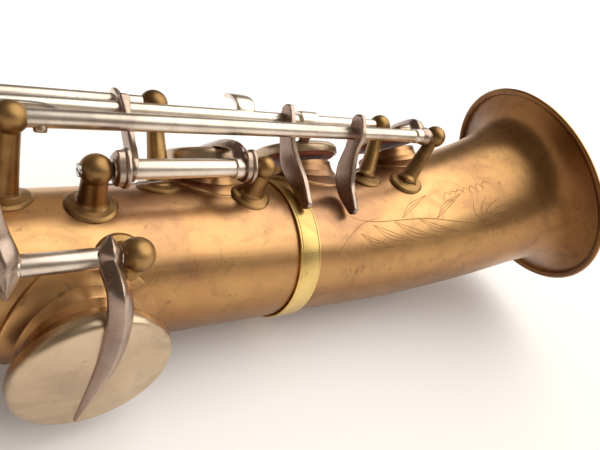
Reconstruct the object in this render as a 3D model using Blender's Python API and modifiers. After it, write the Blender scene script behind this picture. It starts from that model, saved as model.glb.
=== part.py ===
"""Soprano saxophone, lying on its back: a conical brass body with a tipped bell, nickel-silver keywork on
hinge rods between soldered posts, leather pads, and a mouthpiece on a cork.

Bore frame: s runs along the bore's centre line towards the bell, 0 at the body end of the bell ring.
phi turns about it: 0 points to -Y, 90 straight up. The instrument's front is FRONT, its back BACK.
"""

import math

import bmesh
import bpy
from mathutils import Matrix, Vector

MM = 0.001
GAP = 0.3  # between pieces that meet, in mm like every size below

# ---- driving dimensions, in mm and degrees
DATUM = (202.873, 7.566, 25.403)  # where the bore frame's zero stands on the table
FRONT, BACK = 73.0, 253.0
BODY_START, BODY_END = -500.0, 3.2
BODY_R0, BODY_TAPER = 20.9, 0.031  # outer radius at s = 0, and its growth along the bore
WALL = 0.8
BEND_START, BEND_LENGTH, BEND_ANGLE, BEND_PHI = 21.0, 104.5, 33.2, 71.5
RIM_R = 41.9
FLARE = ((3.4, 1.0), (13.7, 22.0))  # growth and power of the bell's two flare terms
RING_WIDTH, RING_GAP, RING_THICK = 7.1, 0.25, 0.6
CHIMNEY, CHIMNEY_WALL = 4.0, 1.0
PAD_THICK, CUP_TALL, CUP_SKIRT, CUP_WALL = 3.2, 4.6, 1.0, 0.8
ROD_R, ROD_BORE = 0.85, 1.2
FINE, MEDIUM, COARSE = 32, 16, 8  # sides of a large, a middling and a small round
ROLL = math.radians(7.0)  # turns the flats of round bars off the flats of what they cross

MATERIALS = {
    "body_brass": ((0.56, 0.30, 0.13), 0.34, 1.0),
    "ring_brass": ((0.72, 0.53, 0.22), 0.30, 1.0),
    "key_nickel": ((0.66, 0.61, 0.53), 0.28, 1.0),
    "rod_steel": ((0.42, 0.41, 0.40), 0.35, 1.0),
    "pad_leather": ((0.35, 0.12, 0.07), 0.65, 0.0),
    "cork": ((0.62, 0.44, 0.27), 0.85, 0.0),
    "ebonite": ((0.03, 0.03, 0.03), 0.25, 0.0),
    "cane": ((0.80, 0.68, 0.40), 0.55, 0.0),
}

# Tone holes: place along the bore, angle, hole radius, cup radius, how far its key stands open at rest.
HOLES = {
    "low_bb": (66.0, 138.0, 10.0, 14.5, 2.7),
    "low_b": (22.0, 138.0, 10.0, 14.5, 2.7),
    "low_cs": (-17.0, 124.0, 8.0, 11.8, 0.0),
    "low_c": (-54.9, -9.0, 11.0, 16.1, 2.7),
    "low_eb": (-91.0, 86.0, 8.0, 11.6, 0.0),
    "d": (-124.0, FRONT, 8.2, 12.0, 2.4),
    "e": (-156.0, FRONT, 7.8, 11.6, 2.4),
    "f": (-186.0, FRONT, 7.2, 10.9, 2.3),
    "fs": (-213.0, FRONT, 6.6, 10.0, 2.2),
    "gs": (-243.0, 92.0, 5.0, 8.0, 0.0),
    "g": (-269.0, FRONT, 6.0, 9.4, 2.0),
    "a": (-309.0, FRONT, 5.2, 8.4, 1.8),
    "b": (-331.0, FRONT, 4.4, 7.5, 1.7),
    "c": (-350.0, FRONT, 3.8, 6.8, 1.6),
    "side_bb": (-283.0, 2.0, 4.2, 7.2, 0.0),
    "side_c": (-320.0, 2.0, 3.8, 6.8, 0.0),
    "palm_d": (-371.0, 96.0, 3.4, 6.2, 0.0),
    "palm_eb": (-392.0, 96.0, 3.2, 6.0, 0.0),
}


# ---- the bore's centre line and surface
def bend_at(s):
    """Angle by which the centre line has turned at s, in radians."""
    along = min(max(s - BEND_START, 0.0) / BEND_LENGTH, 1.3)
    return along * math.radians(BEND_ANGLE)


def spoke(phi):
    """Unit vector straight out from a bore that runs along +X, at angle phi."""
    return Vector((0.0, -math.cos(math.radians(phi)), math.sin(math.radians(phi))))


def centre(s):
    """Point of the centre line, in mm."""
    if s <= BEND_START:
        return Vector((s, 0.0, 0.0))
    sweep = BEND_LENGTH / math.radians(BEND_ANGLE)
    angle = bend_at(s)
    along = Vector((BEND_START + sweep * math.sin(angle), 0.0, 0.0))
    return along + spoke(BEND_PHI) * sweep * (1.0 - math.cos(angle))


def outer_radius(s):
    radius = BODY_R0 + BODY_TAPER * s
    reach = max(s - BEND_START, 0.0) / BEND_LENGTH
    return radius + sum(growth * reach**power for growth, power in FLARE)


def frame_on(s, phi, height=0.0):
    """Matrix in mm: origin over the surface at (s, phi), Z straight out, X along the bore to the bell."""
    turn = Matrix.Rotation(bend_at(s), 3, Vector((1, 0, 0)).cross(spoke(BEND_PHI)))
    out, along = turn @ spoke(phi), turn @ Vector((1, 0, 0))
    matrix = Matrix((along, out.cross(along), out)).transposed().to_4x4()
    matrix.translation = centre(s) + out * (outer_radius(s) + height)
    return matrix


def point_on(s, phi, height=0.0):
    return frame_on(s, phi, height).translation


def facing(origin, direction):
    """Matrix in mm with its Z along direction."""
    matrix = Vector(direction).to_track_quat("Z", "X").to_matrix().to_4x4()
    matrix.translation = origin
    return matrix


# ---- scene, collections and materials
def fresh_scene():
    for obj in list(bpy.data.objects):
        bpy.data.objects.remove(obj, do_unlink=True)
    parts = bpy.data.collections.new("soprano_saxophone")
    cutters = bpy.data.collections.new("joining_and_cutting")
    for collection in (parts, cutters):
        bpy.context.scene.collection.children.link(collection)
    return parts, cutters


PARTS, CUTTERS = fresh_scene()


def material(slot):
    found = bpy.data.materials.get(slot)
    if found:
        return found
    colour, roughness, metallic = MATERIALS[slot]
    made = bpy.data.materials.new(slot)
    made.use_nodes = True
    shader = made.node_tree.nodes["Principled BSDF"]
    shader.inputs["Base Color"].default_value = (*colour, 1.0)
    shader.inputs["Roughness"].default_value = roughness
    shader.inputs["Metallic"].default_value = metallic
    return made


def object_from(work, name="piece"):
    """A hidden working solid from a bmesh in mm."""
    bmesh.ops.scale(work, vec=(MM, MM, MM), verts=work.verts)
    mesh = bpy.data.meshes.new(name)
    work.to_mesh(mesh)
    work.free()
    obj = bpy.data.objects.new(name, mesh)
    CUTTERS.objects.link(obj)
    obj.hide_render = True
    obj.display_type = "WIRE"
    return obj


# ---- solids
def rod(start, end, radius, sides=COARSE, end_radius=None):
    """A round bar, or a cone, between two points."""
    work = bmesh.new()
    start, end = Vector(start), Vector(end)
    place = facing((start + end) / 2, end - start) @ Matrix.Rotation(ROLL, 4, "Z")
    far = radius if end_radius is None else end_radius
    bmesh.ops.create_cone(work, cap_ends=True, segments=sides, radius1=radius, radius2=far,
                          depth=(end - start).length, matrix=place)
    return object_from(work)


def block(matrix, size):
    work = bmesh.new()
    bmesh.ops.create_cube(work, size=1.0, matrix=matrix @ Matrix.Diagonal((*size, 1.0)))
    return object_from(work)


def evaluated(obj, name):
    """A plain mesh object made from obj as its modifiers leave it. obj is removed."""
    graph = bpy.context.evaluated_depsgraph_get()
    mesh = bpy.data.meshes.new_from_object(obj.evaluated_get(graph))
    made = bpy.data.objects.new(name, mesh)
    made.matrix_world = obj.matrix_world
    CUTTERS.objects.link(made)
    made.hide_render = True
    made.display_type = "WIRE"
    bpy.data.objects.remove(obj, do_unlink=True)
    return made


def turned(profile, matrix, sides=MEDIUM):
    """A profile of (radius, height) in mm, top to bottom down its outer side, turned about the matrix's Z."""
    work = bmesh.new()
    points = [work.verts.new((radius, 0.0, height)) for radius, height in profile]
    ends_on_axis = profile[0][0] == 0.0 and profile[-1][0] == 0.0
    for first, second in zip(points, points[1:]):
        work.edges.new((first, second))
    if not ends_on_axis:
        work.edges.new((points[-1], points[0]))
    obj = object_from(work)
    screw = obj.modifiers.new("turn", "SCREW")
    screw.axis = "Z"
    screw.steps = screw.render_steps = sides
    screw.use_merge_vertices = True
    screw.merge_threshold = 0.00001
    made = evaluated(obj, "turned")
    work = bmesh.new()
    work.from_mesh(made.data)
    bmesh.ops.remove_doubles(work, verts=work.verts, dist=0.000002)
    bmesh.ops.recalc_face_normals(work, faces=work.faces)
    place = matrix.copy()
    place.translation = matrix.translation * MM
    bmesh.ops.transform(work, matrix=place, verts=work.verts)
    work.to_mesh(made.data)
    work.free()
    return made


def loft(rings, closed=False):
    """A skin through rings of the same number of points, capped at both ends unless it closes on itself."""
    work = bmesh.new()
    rows = [[work.verts.new(point) for point in ring] for ring in rings]
    count = len(rows[0])
    pairs = list(zip(rows, rows[1:])) + ([(rows[-1], rows[0])] if closed else [])
    for row, following in pairs:
        for i in range(count):
            j = (i + 1) % count
            work.faces.new((row[i], row[j], following[j], following[i]))
    if not closed:
        caps = [work.faces.new(list(reversed(rows[0]))), work.faces.new(rows[-1])]
        bmesh.ops.triangulate(work, faces=caps)
    bmesh.ops.recalc_face_normals(work, faces=work.faces)
    return object_from(work)


def bar(path, widths, thickness, out):
    """A flat key arm through the path's points; widths per point, thickness along out (one vector or many)."""
    path = [Vector(point) for point in path]
    outs = out if isinstance(out, list) else [out] * len(path)
    rings = []
    for i, point in enumerate(path):
        along = (path[min(i + 1, len(path) - 1)] - path[max(i - 1, 0)]).normalized()
        side = along.cross(outs[i]).normalized() * widths[i] / 2
        up = side.cross(along).normalized() * thickness / 2
        edge = 0.55
        rings.append([point + side + up * edge, point + side * edge + up, point - side * edge + up,
                      point - side + up * edge, point - side - up * edge, point - side * edge - up,
                      point + side * edge - up, point + side - up * edge])
    return loft(rings)


def combine(first, others, operation):
    if not others:
        return first
    operands = bpy.data.collections.new("operands")
    for obj in others:
        operands.objects.link(obj)
    boolean = first.modifiers.new(operation.lower(), "BOOLEAN")
    boolean.operation = operation
    boolean.operand_type = "COLLECTION"
    boolean.collection = operands
    made = evaluated(first, "combined")
    for obj in others:
        bpy.data.objects.remove(obj, do_unlink=True)
    bpy.data.collections.remove(operands)
    return made


def finished(name, slot, solids, cuts=(), smooth=40.0):
    """The node: the solids joined into one body, less the cuts, standing in the world frame."""
    obj = combine(combine(solids[0], list(solids[1:]), "UNION"), list(cuts), "DIFFERENCE")
    work = bmesh.new()
    work.from_mesh(obj.data)
    bmesh.ops.remove_doubles(work, verts=work.verts, dist=0.000002)
    work.to_mesh(obj.data)
    work.free()
    obj.data.shade_smooth()
    obj.data.set_sharp_from_angle(angle=math.radians(smooth))
    obj.name = obj.data.name = name
    obj.data.materials.clear()
    obj.data.materials.append(material(slot))
    CUTTERS.objects.unlink(obj)
    PARTS.objects.link(obj)
    obj.hide_render = False
    obj.display_type = "TEXTURED"
    return obj


# ---- hinge lines: where each row of keys turns
class HingeLine:
    """A straight hinge between two points given as (x, phi, radius from the bore's axis) in mm."""

    def __init__(self, left, right, posts, post_size=0.75, tube=1.9):
        self.left, self.right = polar(*left), polar(*right)
        self.direction = (self.right - self.left).normalized()
        self.posts, self.post_size, self.tube = posts, post_size, tube

    def at(self, x):
        return self.left + (self.right - self.left) * ((x - self.left.x) / (self.right.x - self.left.x))

    def span(self, start, end, radius):
        return rod(self.at(start), self.at(end), radius)


def polar(x, phi, radius):
    return Vector((x, 0.0, 0.0)) + spoke(phi) * radius


def beside(line, x, y_z, away):
    """A line parallel to another, through its own point."""
    shift = Vector((0.0, *y_z)) - Vector((0.0, *line.at(x).yz))
    made = HingeLine((0, 0, 0), (1, 0, 0), away, line.post_size, line.tube)
    made.left, made.right, made.direction = line.left + shift, line.right + shift, line.direction
    return made


LONG_LEFT = -222.0
LOW_BB = HingeLine((-66.0, 94.4, 36.9), (58.0, 90.0, 41.9), (58.0, -66.0, LONG_LEFT), 1.0, 1.95)
LOW_B = beside(LOW_BB, 43.7, (12.4, 38.6), (43.7, LONG_LEFT))
CS_LEVER = beside(LOW_BB, -32.0, (21.4, 34.3), (-32.0, LONG_LEFT))
LOW_CS = HingeLine((-52.1, 83.2, 29.4), (-10.2, 84.1, 30.5), (-52.1, -10.2), 1.0, 2.3)
LOW_C = HingeLine((-113.0, 43.8, 27.9), (-47.9, 43.8, 29.7), (-47.9, -113.0), 1.0, 2.1)
RIGHT_STACK = HingeLine((-226.0, 31.0, 22.9), (-119.5, 31.0, 26.2), (-119.5, -172.5, -226.0))
G_SHARP = HingeLine((-255.0, 124.0, 21.5), (-230.0, 124.0, 22.3), (-230.0, -255.0))
LEFT_STACK = HingeLine((-361.0, 31.0, 17.6), (-258.0, 31.0, 21.4), (-258.0, -288.0, -361.0))
SIDE_BB = HingeLine((-296.0, -25.0, 19.2), (-206.0, -25.0, 22.5), (-206.0, -296.0))
SIDE_C = HingeLine((-327.0, -46.0, 18.3), (-232.0, -46.0, 21.7), (-232.0, -327.0))
PALM = HingeLine((-403.0, 130.0, 15.4), (-358.0, 130.0, 16.8), (-358.0, -381.0, -403.0))
DRILLED = (LOW_BB, LOW_B, CS_LEVER, LOW_CS, LOW_C, RIGHT_STACK, LEFT_STACK)
PIVOTED = (G_SHARP, SIDE_BB, SIDE_C, PALM)
STANDING_OPEN = {"low_bb": LOW_BB, "low_b": LOW_B, "low_c": LOW_C,
                 **dict.fromkeys(("d", "e", "f", "fs"), RIGHT_STACK), **dict.fromkeys(("g", "a", "b", "c"), LEFT_STACK)}

OCTAVE_KEYS = {"octave_key_lower": (268.0, -366.0, -342.0, -392.0),
               "octave_key_upper": (228.0, -398.0, -350.0, -437.0)}  # phi, hinge, touch and vent along x
OCTAVE_LIFT, OCTAVE_HALF, OCTAVE_BALL = 5.4, 4.3, 1.7


def octave_hinge(phi, x):
    """Centre and direction of an octave key's cross hinge."""
    return point_on(x, phi, OCTAVE_LIFT), frame_on(x, phi).to_3x3().col[1]


# ---- the body and what is soldered to it
def foot_under(at):
    """Frame on the surface straight under a point in mm, and the point's height over it."""
    s = at.x
    for _ in range(12):
        s += (at - centre(s)).dot(frame_on(s, 0.0).to_3x3().col[0])
    unturned = Matrix.Rotation(-bend_at(s), 3, Vector((1, 0, 0)).cross(spoke(BEND_PHI))) @ (at - centre(s))
    phi = math.degrees(math.atan2(unturned.z, -unturned.y))
    return frame_on(s, phi), (at - centre(s)).length - outer_radius(s)


def post(at, size, sides):
    """A turned post: a flange foot on the body, a tapering column and a ball head round the hinge."""
    place, height = foot_under(at)
    ball_r, neck, waist, flange = 3.6 * size, 2.0 * size, 2.7 * size, 6.1 * size
    step = 30.0 if sides > 8 else 45.0
    arc = [math.radians(90.0 - step * i) for i in range(round(135.0 / step) + 1)]
    head = [(ball_r * math.cos(turn), height + ball_r * math.sin(turn)) for turn in arc]
    head[0] = (0.0, height + ball_r)
    foot = [(waist, 1.4), (flange - 0.8, 0.9), (flange, 0.3), (flange, -1.4), (0.0, -1.4)]
    head = [(radius, z) for radius, z in head if radius >= neck or z > height] + [(neck, height - ball_r * 0.9)]
    return turned(head + foot, place @ Matrix.Rotation(ROLL, 4, "Z"), sides)


def chimney(s, phi, hole, tall=CHIMNEY):
    place = frame_on(s, phi)
    return rod(place @ Vector((0, 0, -0.62 * outer_radius(s))), place @ Vector((0, 0, tall)),
               hole + CHIMNEY_WALL, round_sides(hole))


def chimney_bore(s, phi, hole, tall=CHIMNEY):
    place = frame_on(s, phi)
    return rod(place @ Vector((0, 0, -0.7 * outer_radius(s))), place @ Vector((0, 0, tall + 1.0)), hole,
               round_sides(hole))


def round_sides(radius):
    """Sides for a round of this radius: about one for each 3 mm of its rim, from 8 to 24."""
    return min(max(2 * round(radius), 8), MEDIUM)


def cone(start, end, clearance, sides=FINE):
    """The body's conical surface between two x, grown by a clearance."""
    return rod((start, 0, 0), (end, 0, 0), outer_radius(start) + clearance, sides,
               outer_radius(end) + clearance)


def posts_between(low, high):
    """Every post whose hinge point lies between two x: its ball's place, size and number of sides."""
    for line in DRILLED + PIVOTED:
        for x in line.posts:
            if low < x <= high:
                seen = line.post_size == 1.0 and x > LONG_LEFT
                yield line.at(x), line.post_size, (10 if seen else 6)


def soldered(low, high):
    """Chimneys and posts on a stretch of the instrument, the pivots in its plain posts, and what drills them."""
    solids, cuts = [], []
    for s, phi, hole, _, _ in HOLES.values():
        if low < s <= high:
            solids.append(chimney(s, phi, hole))
            cuts.append(chimney_bore(s, phi, hole))
    solids += [post(*where) for where in posts_between(low, high)]
    for line in DRILLED:
        for x in line.posts:
            if low < x <= high:
                cuts.append(rod(line.at(x - 6.0), line.at(x + 6.0), ROD_BORE, 8))
    for line in PIVOTED:
        for x in line.posts:
            if low < x <= high:
                solids.append(rod(line.at(x - 4.2), line.at(x + 4.2), ROD_R, 6))
    return solids, cuts


def body_tube():
    solids, cuts = soldered(BODY_START, BODY_END)
    for phi, hinge, _, vent in OCTAVE_KEYS.values():
        solids.append(chimney(vent, phi, 1.4, 2.6))
        cuts.append(chimney_bore(vent, phi, 1.0, 2.6))
        at, across = octave_hinge(phi, hinge)
        solids += [post(at + across * side * OCTAVE_HALF, OCTAVE_BALL / 3.6, 6) for side in (-1, 1)]
        solids += [rod(at + across * side * (OCTAVE_HALF + 1.0), at + across * side * 1.6, 0.7, 8)
                   for side in (-1, 1)]
    bore = cone(BODY_START - 1.0, BODY_END + 1.0, -WALL)
    finished("body_tube", "body_brass", [cone(BODY_START, BODY_END, 0.0)] + solids, [bore] + cuts)


def bell_rings(stations):
    """Circles across the bell: (s, radius) each, in mm."""
    rings = []
    for s, radius in stations:
        place = frame_on(s, 0.0)
        place.translation = centre(s)
        turn = place.to_3x3()
        rings.append([place.translation + turn @ Vector((0, math.sin(a), math.cos(a))) * radius
                      for a in (2 * math.pi * i / FINE for i in range(FINE))])
    return rings


def bell():
    rim = BEND_START + BEND_LENGTH
    steps = [BODY_END + GAP] + [BEND_START + BEND_LENGTH * part for part in
                                (0, 0.3, 0.6, 0.8, 0.88, 0.925, 0.955, 0.975)]
    outside = [(s, outer_radius(s)) for s in steps]
    roll = [(rim - 1.7, RIM_R - 3.9), (rim - 2.2, RIM_R - 1.8), (rim - 1.9, RIM_R - 0.5), (rim - 0.9, RIM_R),
            (rim, RIM_R - 0.7)]
    inside = [(steps[0] - 1.0, outer_radius(steps[0]) - WALL)] + [(s, outer_radius(s) - WALL) for s in steps[1:]]
    mouth = [(rim - 1.1, RIM_R - 4.4), (rim - 0.4, RIM_R - 2.9), (rim + 1.0, RIM_R - 2.3)]
    solids, cuts = soldered(BODY_END, rim)
    finished("bell", "body_brass", [loft(bell_rings(outside + roll))] + solids,
             [loft(bell_rings(inside + mouth))] + cuts)


def bell_ring():
    along = facing((0, 0, 0), (1, 0, 0))
    profile = [(outer_radius(RING_WIDTH) + RING_GAP, RING_WIDTH),
               (outer_radius(RING_WIDTH) + RING_GAP + RING_THICK, RING_WIDTH - 0.3),
               (outer_radius(0) + RING_GAP + RING_THICK, 0.3), (outer_radius(0) + RING_GAP, 0.0)]
    finished("bell_ring", "ring_brass", [turned(profile, along, FINE)])


# ---- keys
def opening(hole):
    """The turn about its hinge, in radians, that lifts a key that stands open from its closed place."""
    line, seat = STANDING_OPEN[hole], frame_on(*HOLES[hole][:2], CHIMNEY + GAP)
    lift = line.direction.cross(seat.translation - line.at(seat.translation.x)).dot(seat.to_3x3().col[2])
    return HOLES[hole][4] / lift


def cup_frame(hole):
    """Frame of a cup as its key rests: origin under the middle of the pad, Z out through its top."""
    seat = frame_on(*HOLES[hole][:2], CHIMNEY + GAP)
    if hole not in STANDING_OPEN:
        return seat
    line = STANDING_OPEN[hole]
    hinge = Matrix.Translation(line.at(seat.translation.x))
    return hinge @ Matrix.Rotation(opening(hole), 4, line.direction) @ hinge.inverted() @ seat


def cup(hole):
    """The round cup over a tone hole, recessed underneath for its pad."""
    radius, roof = HOLES[hole][3], PAD_THICK + GAP
    profile = [(0, CUP_TALL), (radius - 1.6, CUP_TALL), (radius - 0.3, CUP_TALL - 0.9), (radius, CUP_TALL - 1.8),
               (radius, CUP_SKIRT), (radius - CUP_WALL, CUP_SKIRT), (radius - CUP_WALL, roof), (0, roof)]
    return turned(profile, cup_frame(hole))


def pad(hole):
    radius = HOLES[hole][3] - CUP_WALL - GAP
    profile = [(0, PAD_THICK), (radius, PAD_THICK), (radius, 0), (0, 0)]
    finished(f"{hole}_pad", "pad_leather", [turned(profile, cup_frame(hole))])


def cup_arm(line, x, hole, widths=(5.0, 4.4, 3.6, 2.0), thickness=1.8):
    """The arm from a hinge tube over the middle of a cup, lying on the cup's top."""
    place = cup_frame(hole)
    out = place.to_3x3().col[2]
    level = CUP_TALL + thickness / 2 - 0.35
    start = line.at(x)
    local = place.inverted() @ start
    toward = Vector((local.x, local.y, 0.0)).normalized() * HOLES[hole][3]
    edge, tip = place @ (toward * 1.03 + Vector((0, 0, level))), place @ (toward * -0.35 + Vector((0, 0, level)))
    corner = place @ (Vector((local.x, local.y, 0.0)) * 0.96 + Vector((0, 0, max(level - 2.2, local.z + 1.0))))
    across = (tip - edge).cross(out)
    return bar([start, corner, edge, tip], widths, thickness, [across.cross(corner - start), out, out, out])


def touch(start, middle, ends, wide=8.0, arm=4.0, thickness=1.7):
    """A finger plate between two (x, phi, radius) ends, and the arm that carries it from the hinge tube."""
    first, last = polar(*ends[0]), polar(*ends[1])
    out = spoke((ends[0][1] + ends[1][1]) / 2)
    shape = ((0.0, 0.6), (0.15, 1.0), (0.85, 1.0), (1.0, 0.6))
    plate = bar([first.lerp(last, part) for part, _ in shape], [wide * share for _, share in shape], thickness, out)
    return [bar([start, Vector(middle), first.lerp(last, 0.3)], (arm, arm, arm), thickness - 0.3, out), plate]


def long_touch(line, ends):
    """The left little finger's plate, on an arm that leaves its long tube and passes outside the last post."""
    hinge = line.at(LONG_LEFT)
    over = hinge + Vector((-2.0, *hinge.yz.normalized() * 5.6))
    return touch(line.at(LONG_LEFT + 9.0), over, ends)


def round_touch(hole, slot_height=2.2):
    """A round finger button on top of a stack cup."""
    place = cup_frame(hole)
    radius = min(HOLES[hole][3] * 0.55, 5.2)
    profile = [(0, CUP_TALL + slot_height), (radius - 1.0, CUP_TALL + slot_height - 0.2),
               (radius, CUP_TALL + slot_height - 0.9), (radius, CUP_TALL - 0.3), (0, CUP_TALL - 0.3)]
    return turned(profile, place, 16)


def key(name, line, spans, solids, slot="key_nickel"):
    """A key: its hinge tubes and everything brazed to them, bored for the rod or the pivots."""
    tubes = [line.span(start, end, line.tube) for start, end in spans]
    ends = [x for span in spans for x in span]
    finished(name, slot, tubes + solids, [line.span(min(ends) - 1.0, max(ends) + 1.0, ROD_BORE)])


def clear_of(line, x, side):
    """Where a tube ends beside a post: side 1 on the post's right, -1 on its left."""
    return x + side * (3.6 * line.post_size + 0.35)


def low_keys():
    bridge = spoke(178.0) * 5.4
    key("low_bb_key", LOW_BB,
        [(clear_of(LOW_BB, -66, 1), clear_of(LOW_BB, 58, -1)), (clear_of(LOW_BB, LONG_LEFT, 1), clear_of(LOW_BB, -66, -1))],
        [cup("low_bb"), cup_arm(LOW_BB, 51.0, "low_bb"),
         LOW_BB.span(45.0, 52.5, 2.7),
         stop_arm(20.0, ((90.2, 44.6), (88.4, 41.0), (87.2, 36.5), (84.2, 29.8), (77.0, 25.8), (61.5, 24.3)),
                  (3.0, 6.0, 5.0, 6.8, 6.2, 3.2)),
         bar([LOW_BB.at(-58), LOW_BB.at(-60.5) + bridge, LOW_BB.at(-71.5) + bridge, LOW_BB.at(-74)],
             (2.6, 2.6, 2.6, 2.6), 1.6, spoke(178.0)),
         *long_touch(LOW_BB, ((-246, 112, 33.5), (-262, 113, 33.0)))])
    key("low_b_key", LOW_B, [(clear_of(LOW_B, LONG_LEFT, 1), clear_of(LOW_B, 43.7, -1))],
        [cup("low_b"), cup_arm(LOW_B, 15.0, "low_b"),
         stop_arm(3.6, ((106.8, 42.2), (106.2, 39.4), (103.6, 33.8), (97.6, 28.8), (83.0, 25.6), (68.0, 24.0)),
                  (3.0, 6.0, 6.0, 7.0, 6.0, 3.2)),
         *long_touch(LOW_B, ((-246, 131, 34.5), (-262, 132, 34.0)))])
    key("low_cs_lever", CS_LEVER, [(clear_of(CS_LEVER, LONG_LEFT, 1), clear_of(CS_LEVER, -32, -1))],
        [bar([CS_LEVER.at(-42), CS_LEVER.at(-42) + spoke(95.0) * 3.2, polar(-42, 113, 41.9)], (4.0, 4.0, 3.0), 1.6,
             Vector((1, 0, 0))),
         *long_touch(CS_LEVER, ((-241, 149, 37.0), (-256, 150, 36.5)))])
    key("low_cs_key", LOW_CS, [(clear_of(LOW_CS, -52.1, 1), clear_of(LOW_CS, -10.2, -1))],
        [cup("low_cs"), cup_arm(LOW_CS, -17.0, "low_cs"),
         LOW_CS.span(-47.6, -46.0, 3.4), LOW_CS.span(-16.4, -14.8, 3.4),
         bar([LOW_CS.at(-44.0), polar(-43.0, 97, 32.0), polar(-42.0, 112, 45.6)], (5.0, 3.2, 3.0), 1.7,
             Vector((1, 0, 0)))])


def stop_arm(x, path, widths):
    """The plate that curves from a long rod down to the body and limits how far its key opens."""
    return bar([polar(x, phi, radius) for phi, radius in path], widths, 1.8, Vector((1, 0, 0)))


def pinky_keys():
    """Low C and E flat, side by side on one rod, with their touches for the right little finger."""
    flange = -73.8
    key("low_c_key", LOW_C, [(flange, clear_of(LOW_C, -47.9, -1))],
        [cup("low_c"), cup_arm(LOW_C, -54.0, "low_c", (4.4, 5.0, 4.0, 1.6), 2.6),
         bar([LOW_C.at(-70.9) + spoke(98) * 9.0, LOW_C.at(-70.9), LOW_C.at(-70.9) + spoke(-20) * 4.6],
             (2.4, 5.4, 3.0), 4.4, Vector((1, 0, 0))),
         *touch(LOW_C.at(-71.2), polar(-73.0, 23, 34.0), ((-112, 1, 32.5), (-129, 0, 31.5)), 7.6, 3.6)])
    key("low_eb_key", LOW_C, [(clear_of(LOW_C, -113, 1), flange - 0.5)],
        [cup("low_eb"), cup_arm(LOW_C, -91.0, "low_eb"),
         LOW_C.span(-76.6, -75.2, 3.2),
         *touch(LOW_C.at(-104), polar(-106, 30, 31.0), ((-113, 19, 32.0), (-129, 17.5, 31.0)), 7.2)])


def stack(line, holes, rounds):
    """Neighbouring keys on one rod, each with its own length of tube, gap and cup."""
    order = sorted(holes, key=lambda hole: HOLES[hole][0])
    middles = [HOLES[hole][0] for hole in order]
    bounds = [line.left.x] + [(low + high) / 2 for low, high in zip(middles, middles[1:])] + [line.right.x]
    for hole, x, low, high in zip(order, middles, bounds, bounds[1:]):
        low = max([low + GAP / 2] + [clear_of(line, post_x, 1) for post_x in line.posts if post_x < x])
        high = min([high - GAP / 2] + [clear_of(line, post_x, -1) for post_x in line.posts if post_x > x])
        buttons = [round_touch(hole)] if hole in rounds else []
        arm_x = min(max(x, low + 2.8), high - 2.8)
        key(f"{hole}_key", line, [(low, high)], [cup(hole), cup_arm(line, arm_x, hole)] + buttons)


def side_keys():
    key("gs_key", G_SHARP, [(clear_of(G_SHARP, -255, 1), clear_of(G_SHARP, -230, -1))],
        [cup("gs"), cup_arm(G_SHARP, -243, "gs", (4.4, 4.0, 3.2, 2.0)),
         *touch(G_SHARP.at(-248.5), polar(-248.5, 137, 24.6), ((-246, 149, 27.0), (-262, 150, 26.0)))])
    key("side_bb_key", SIDE_BB, [(clear_of(SIDE_BB, -296, 1), clear_of(SIDE_BB, -206, -1))],
        [cup("side_bb"), cup_arm(SIDE_BB, -283, "side_bb", (4.0, 3.6, 3.0, 2.0)),
         *touch(SIDE_BB.at(-213), polar(-213, -38, 23.6), ((-210, -52, 23.5), (-226, -52, 23.0)), 7.6)])
    key("side_c_key", SIDE_C, [(clear_of(SIDE_C, -327, 1), clear_of(SIDE_C, -232, -1))],
        [cup("side_c"), cup_arm(SIDE_C, -319, "side_c", (4.0, 3.6, 3.0, 2.0)),
         *touch(SIDE_C.at(-240), polar(-240, -58, 22.4), ((-237, -70, 21.8), (-253, -70, 21.2)), 7.2)])
    for hole, low, high, reach in (("palm_d", -381, -358, -350.0), ("palm_eb", -403, -381, -372.0)):
        x = HOLES[hole][0]
        key(f"{hole}_key", PALM, [(clear_of(PALM, low, 1), clear_of(PALM, high, -1))],
            [cup(hole), cup_arm(PALM, x, hole, (3.6, 3.4, 2.8, 1.8), 1.6),
             *touch(PALM.at(x + 5), polar(x + 5.5, 146, 18.6), ((x + 6, 161, 19.5), (reach, 162, 19.0)), 7.0, 3.6)])


def octave_keys():
    for name, (phi, hinge, finger, vent) in OCTAVE_KEYS.items():
        at, across = octave_hinge(phi, hinge)
        out = spoke(phi)
        seat = point_on(vent, phi, 2.9)
        lever = bar([point_on(finger + 9, phi, 6.4), point_on(finger - 7, phi, 6.6), point_on(hinge + 8, phi, 5.6),
                     at, point_on(vent + 9, phi, 5.6), point_on(vent - 2.0, phi, 5.2)],
                    (7.0, 7.0, 3.4, 3.4, 3.0, 4.0), 1.7, out)
        hub = rod(at - across * 2.2, at + across * 2.2, 1.6)
        nose = rod(seat, seat + out * 2.4, 2.3)
        finished(name, "key_nickel", [lever, hub, nose], [rod(at - across * 4, at + across * 4, 1.0, 8)])


def hinge_rods():
    """The long steel rods that the hinge tubes turn on, through their drilled posts."""
    names = ("low_bb", "low_b", "low_cs_lever", "low_cs", "low_c", "right_stack", "left_stack")
    for name, line in zip(names, DRILLED):
        reach = 3.6 * line.post_size - 0.2
        finished(f"{name}_rod", "rod_steel", [line.span(min(line.posts) - reach, max(line.posts) + reach, ROD_R)])


# ---- what the player holds, and the mouthpiece
SADDLE = (-14.0, 14.0)


def saddled(x, solids, cuts=()):
    """Cuts the underside of soldered-on furniture to the body's curve."""
    return solids, list(cuts) + [cone(x + SADDLE[0], x + SADDLE[1], GAP)]


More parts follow.
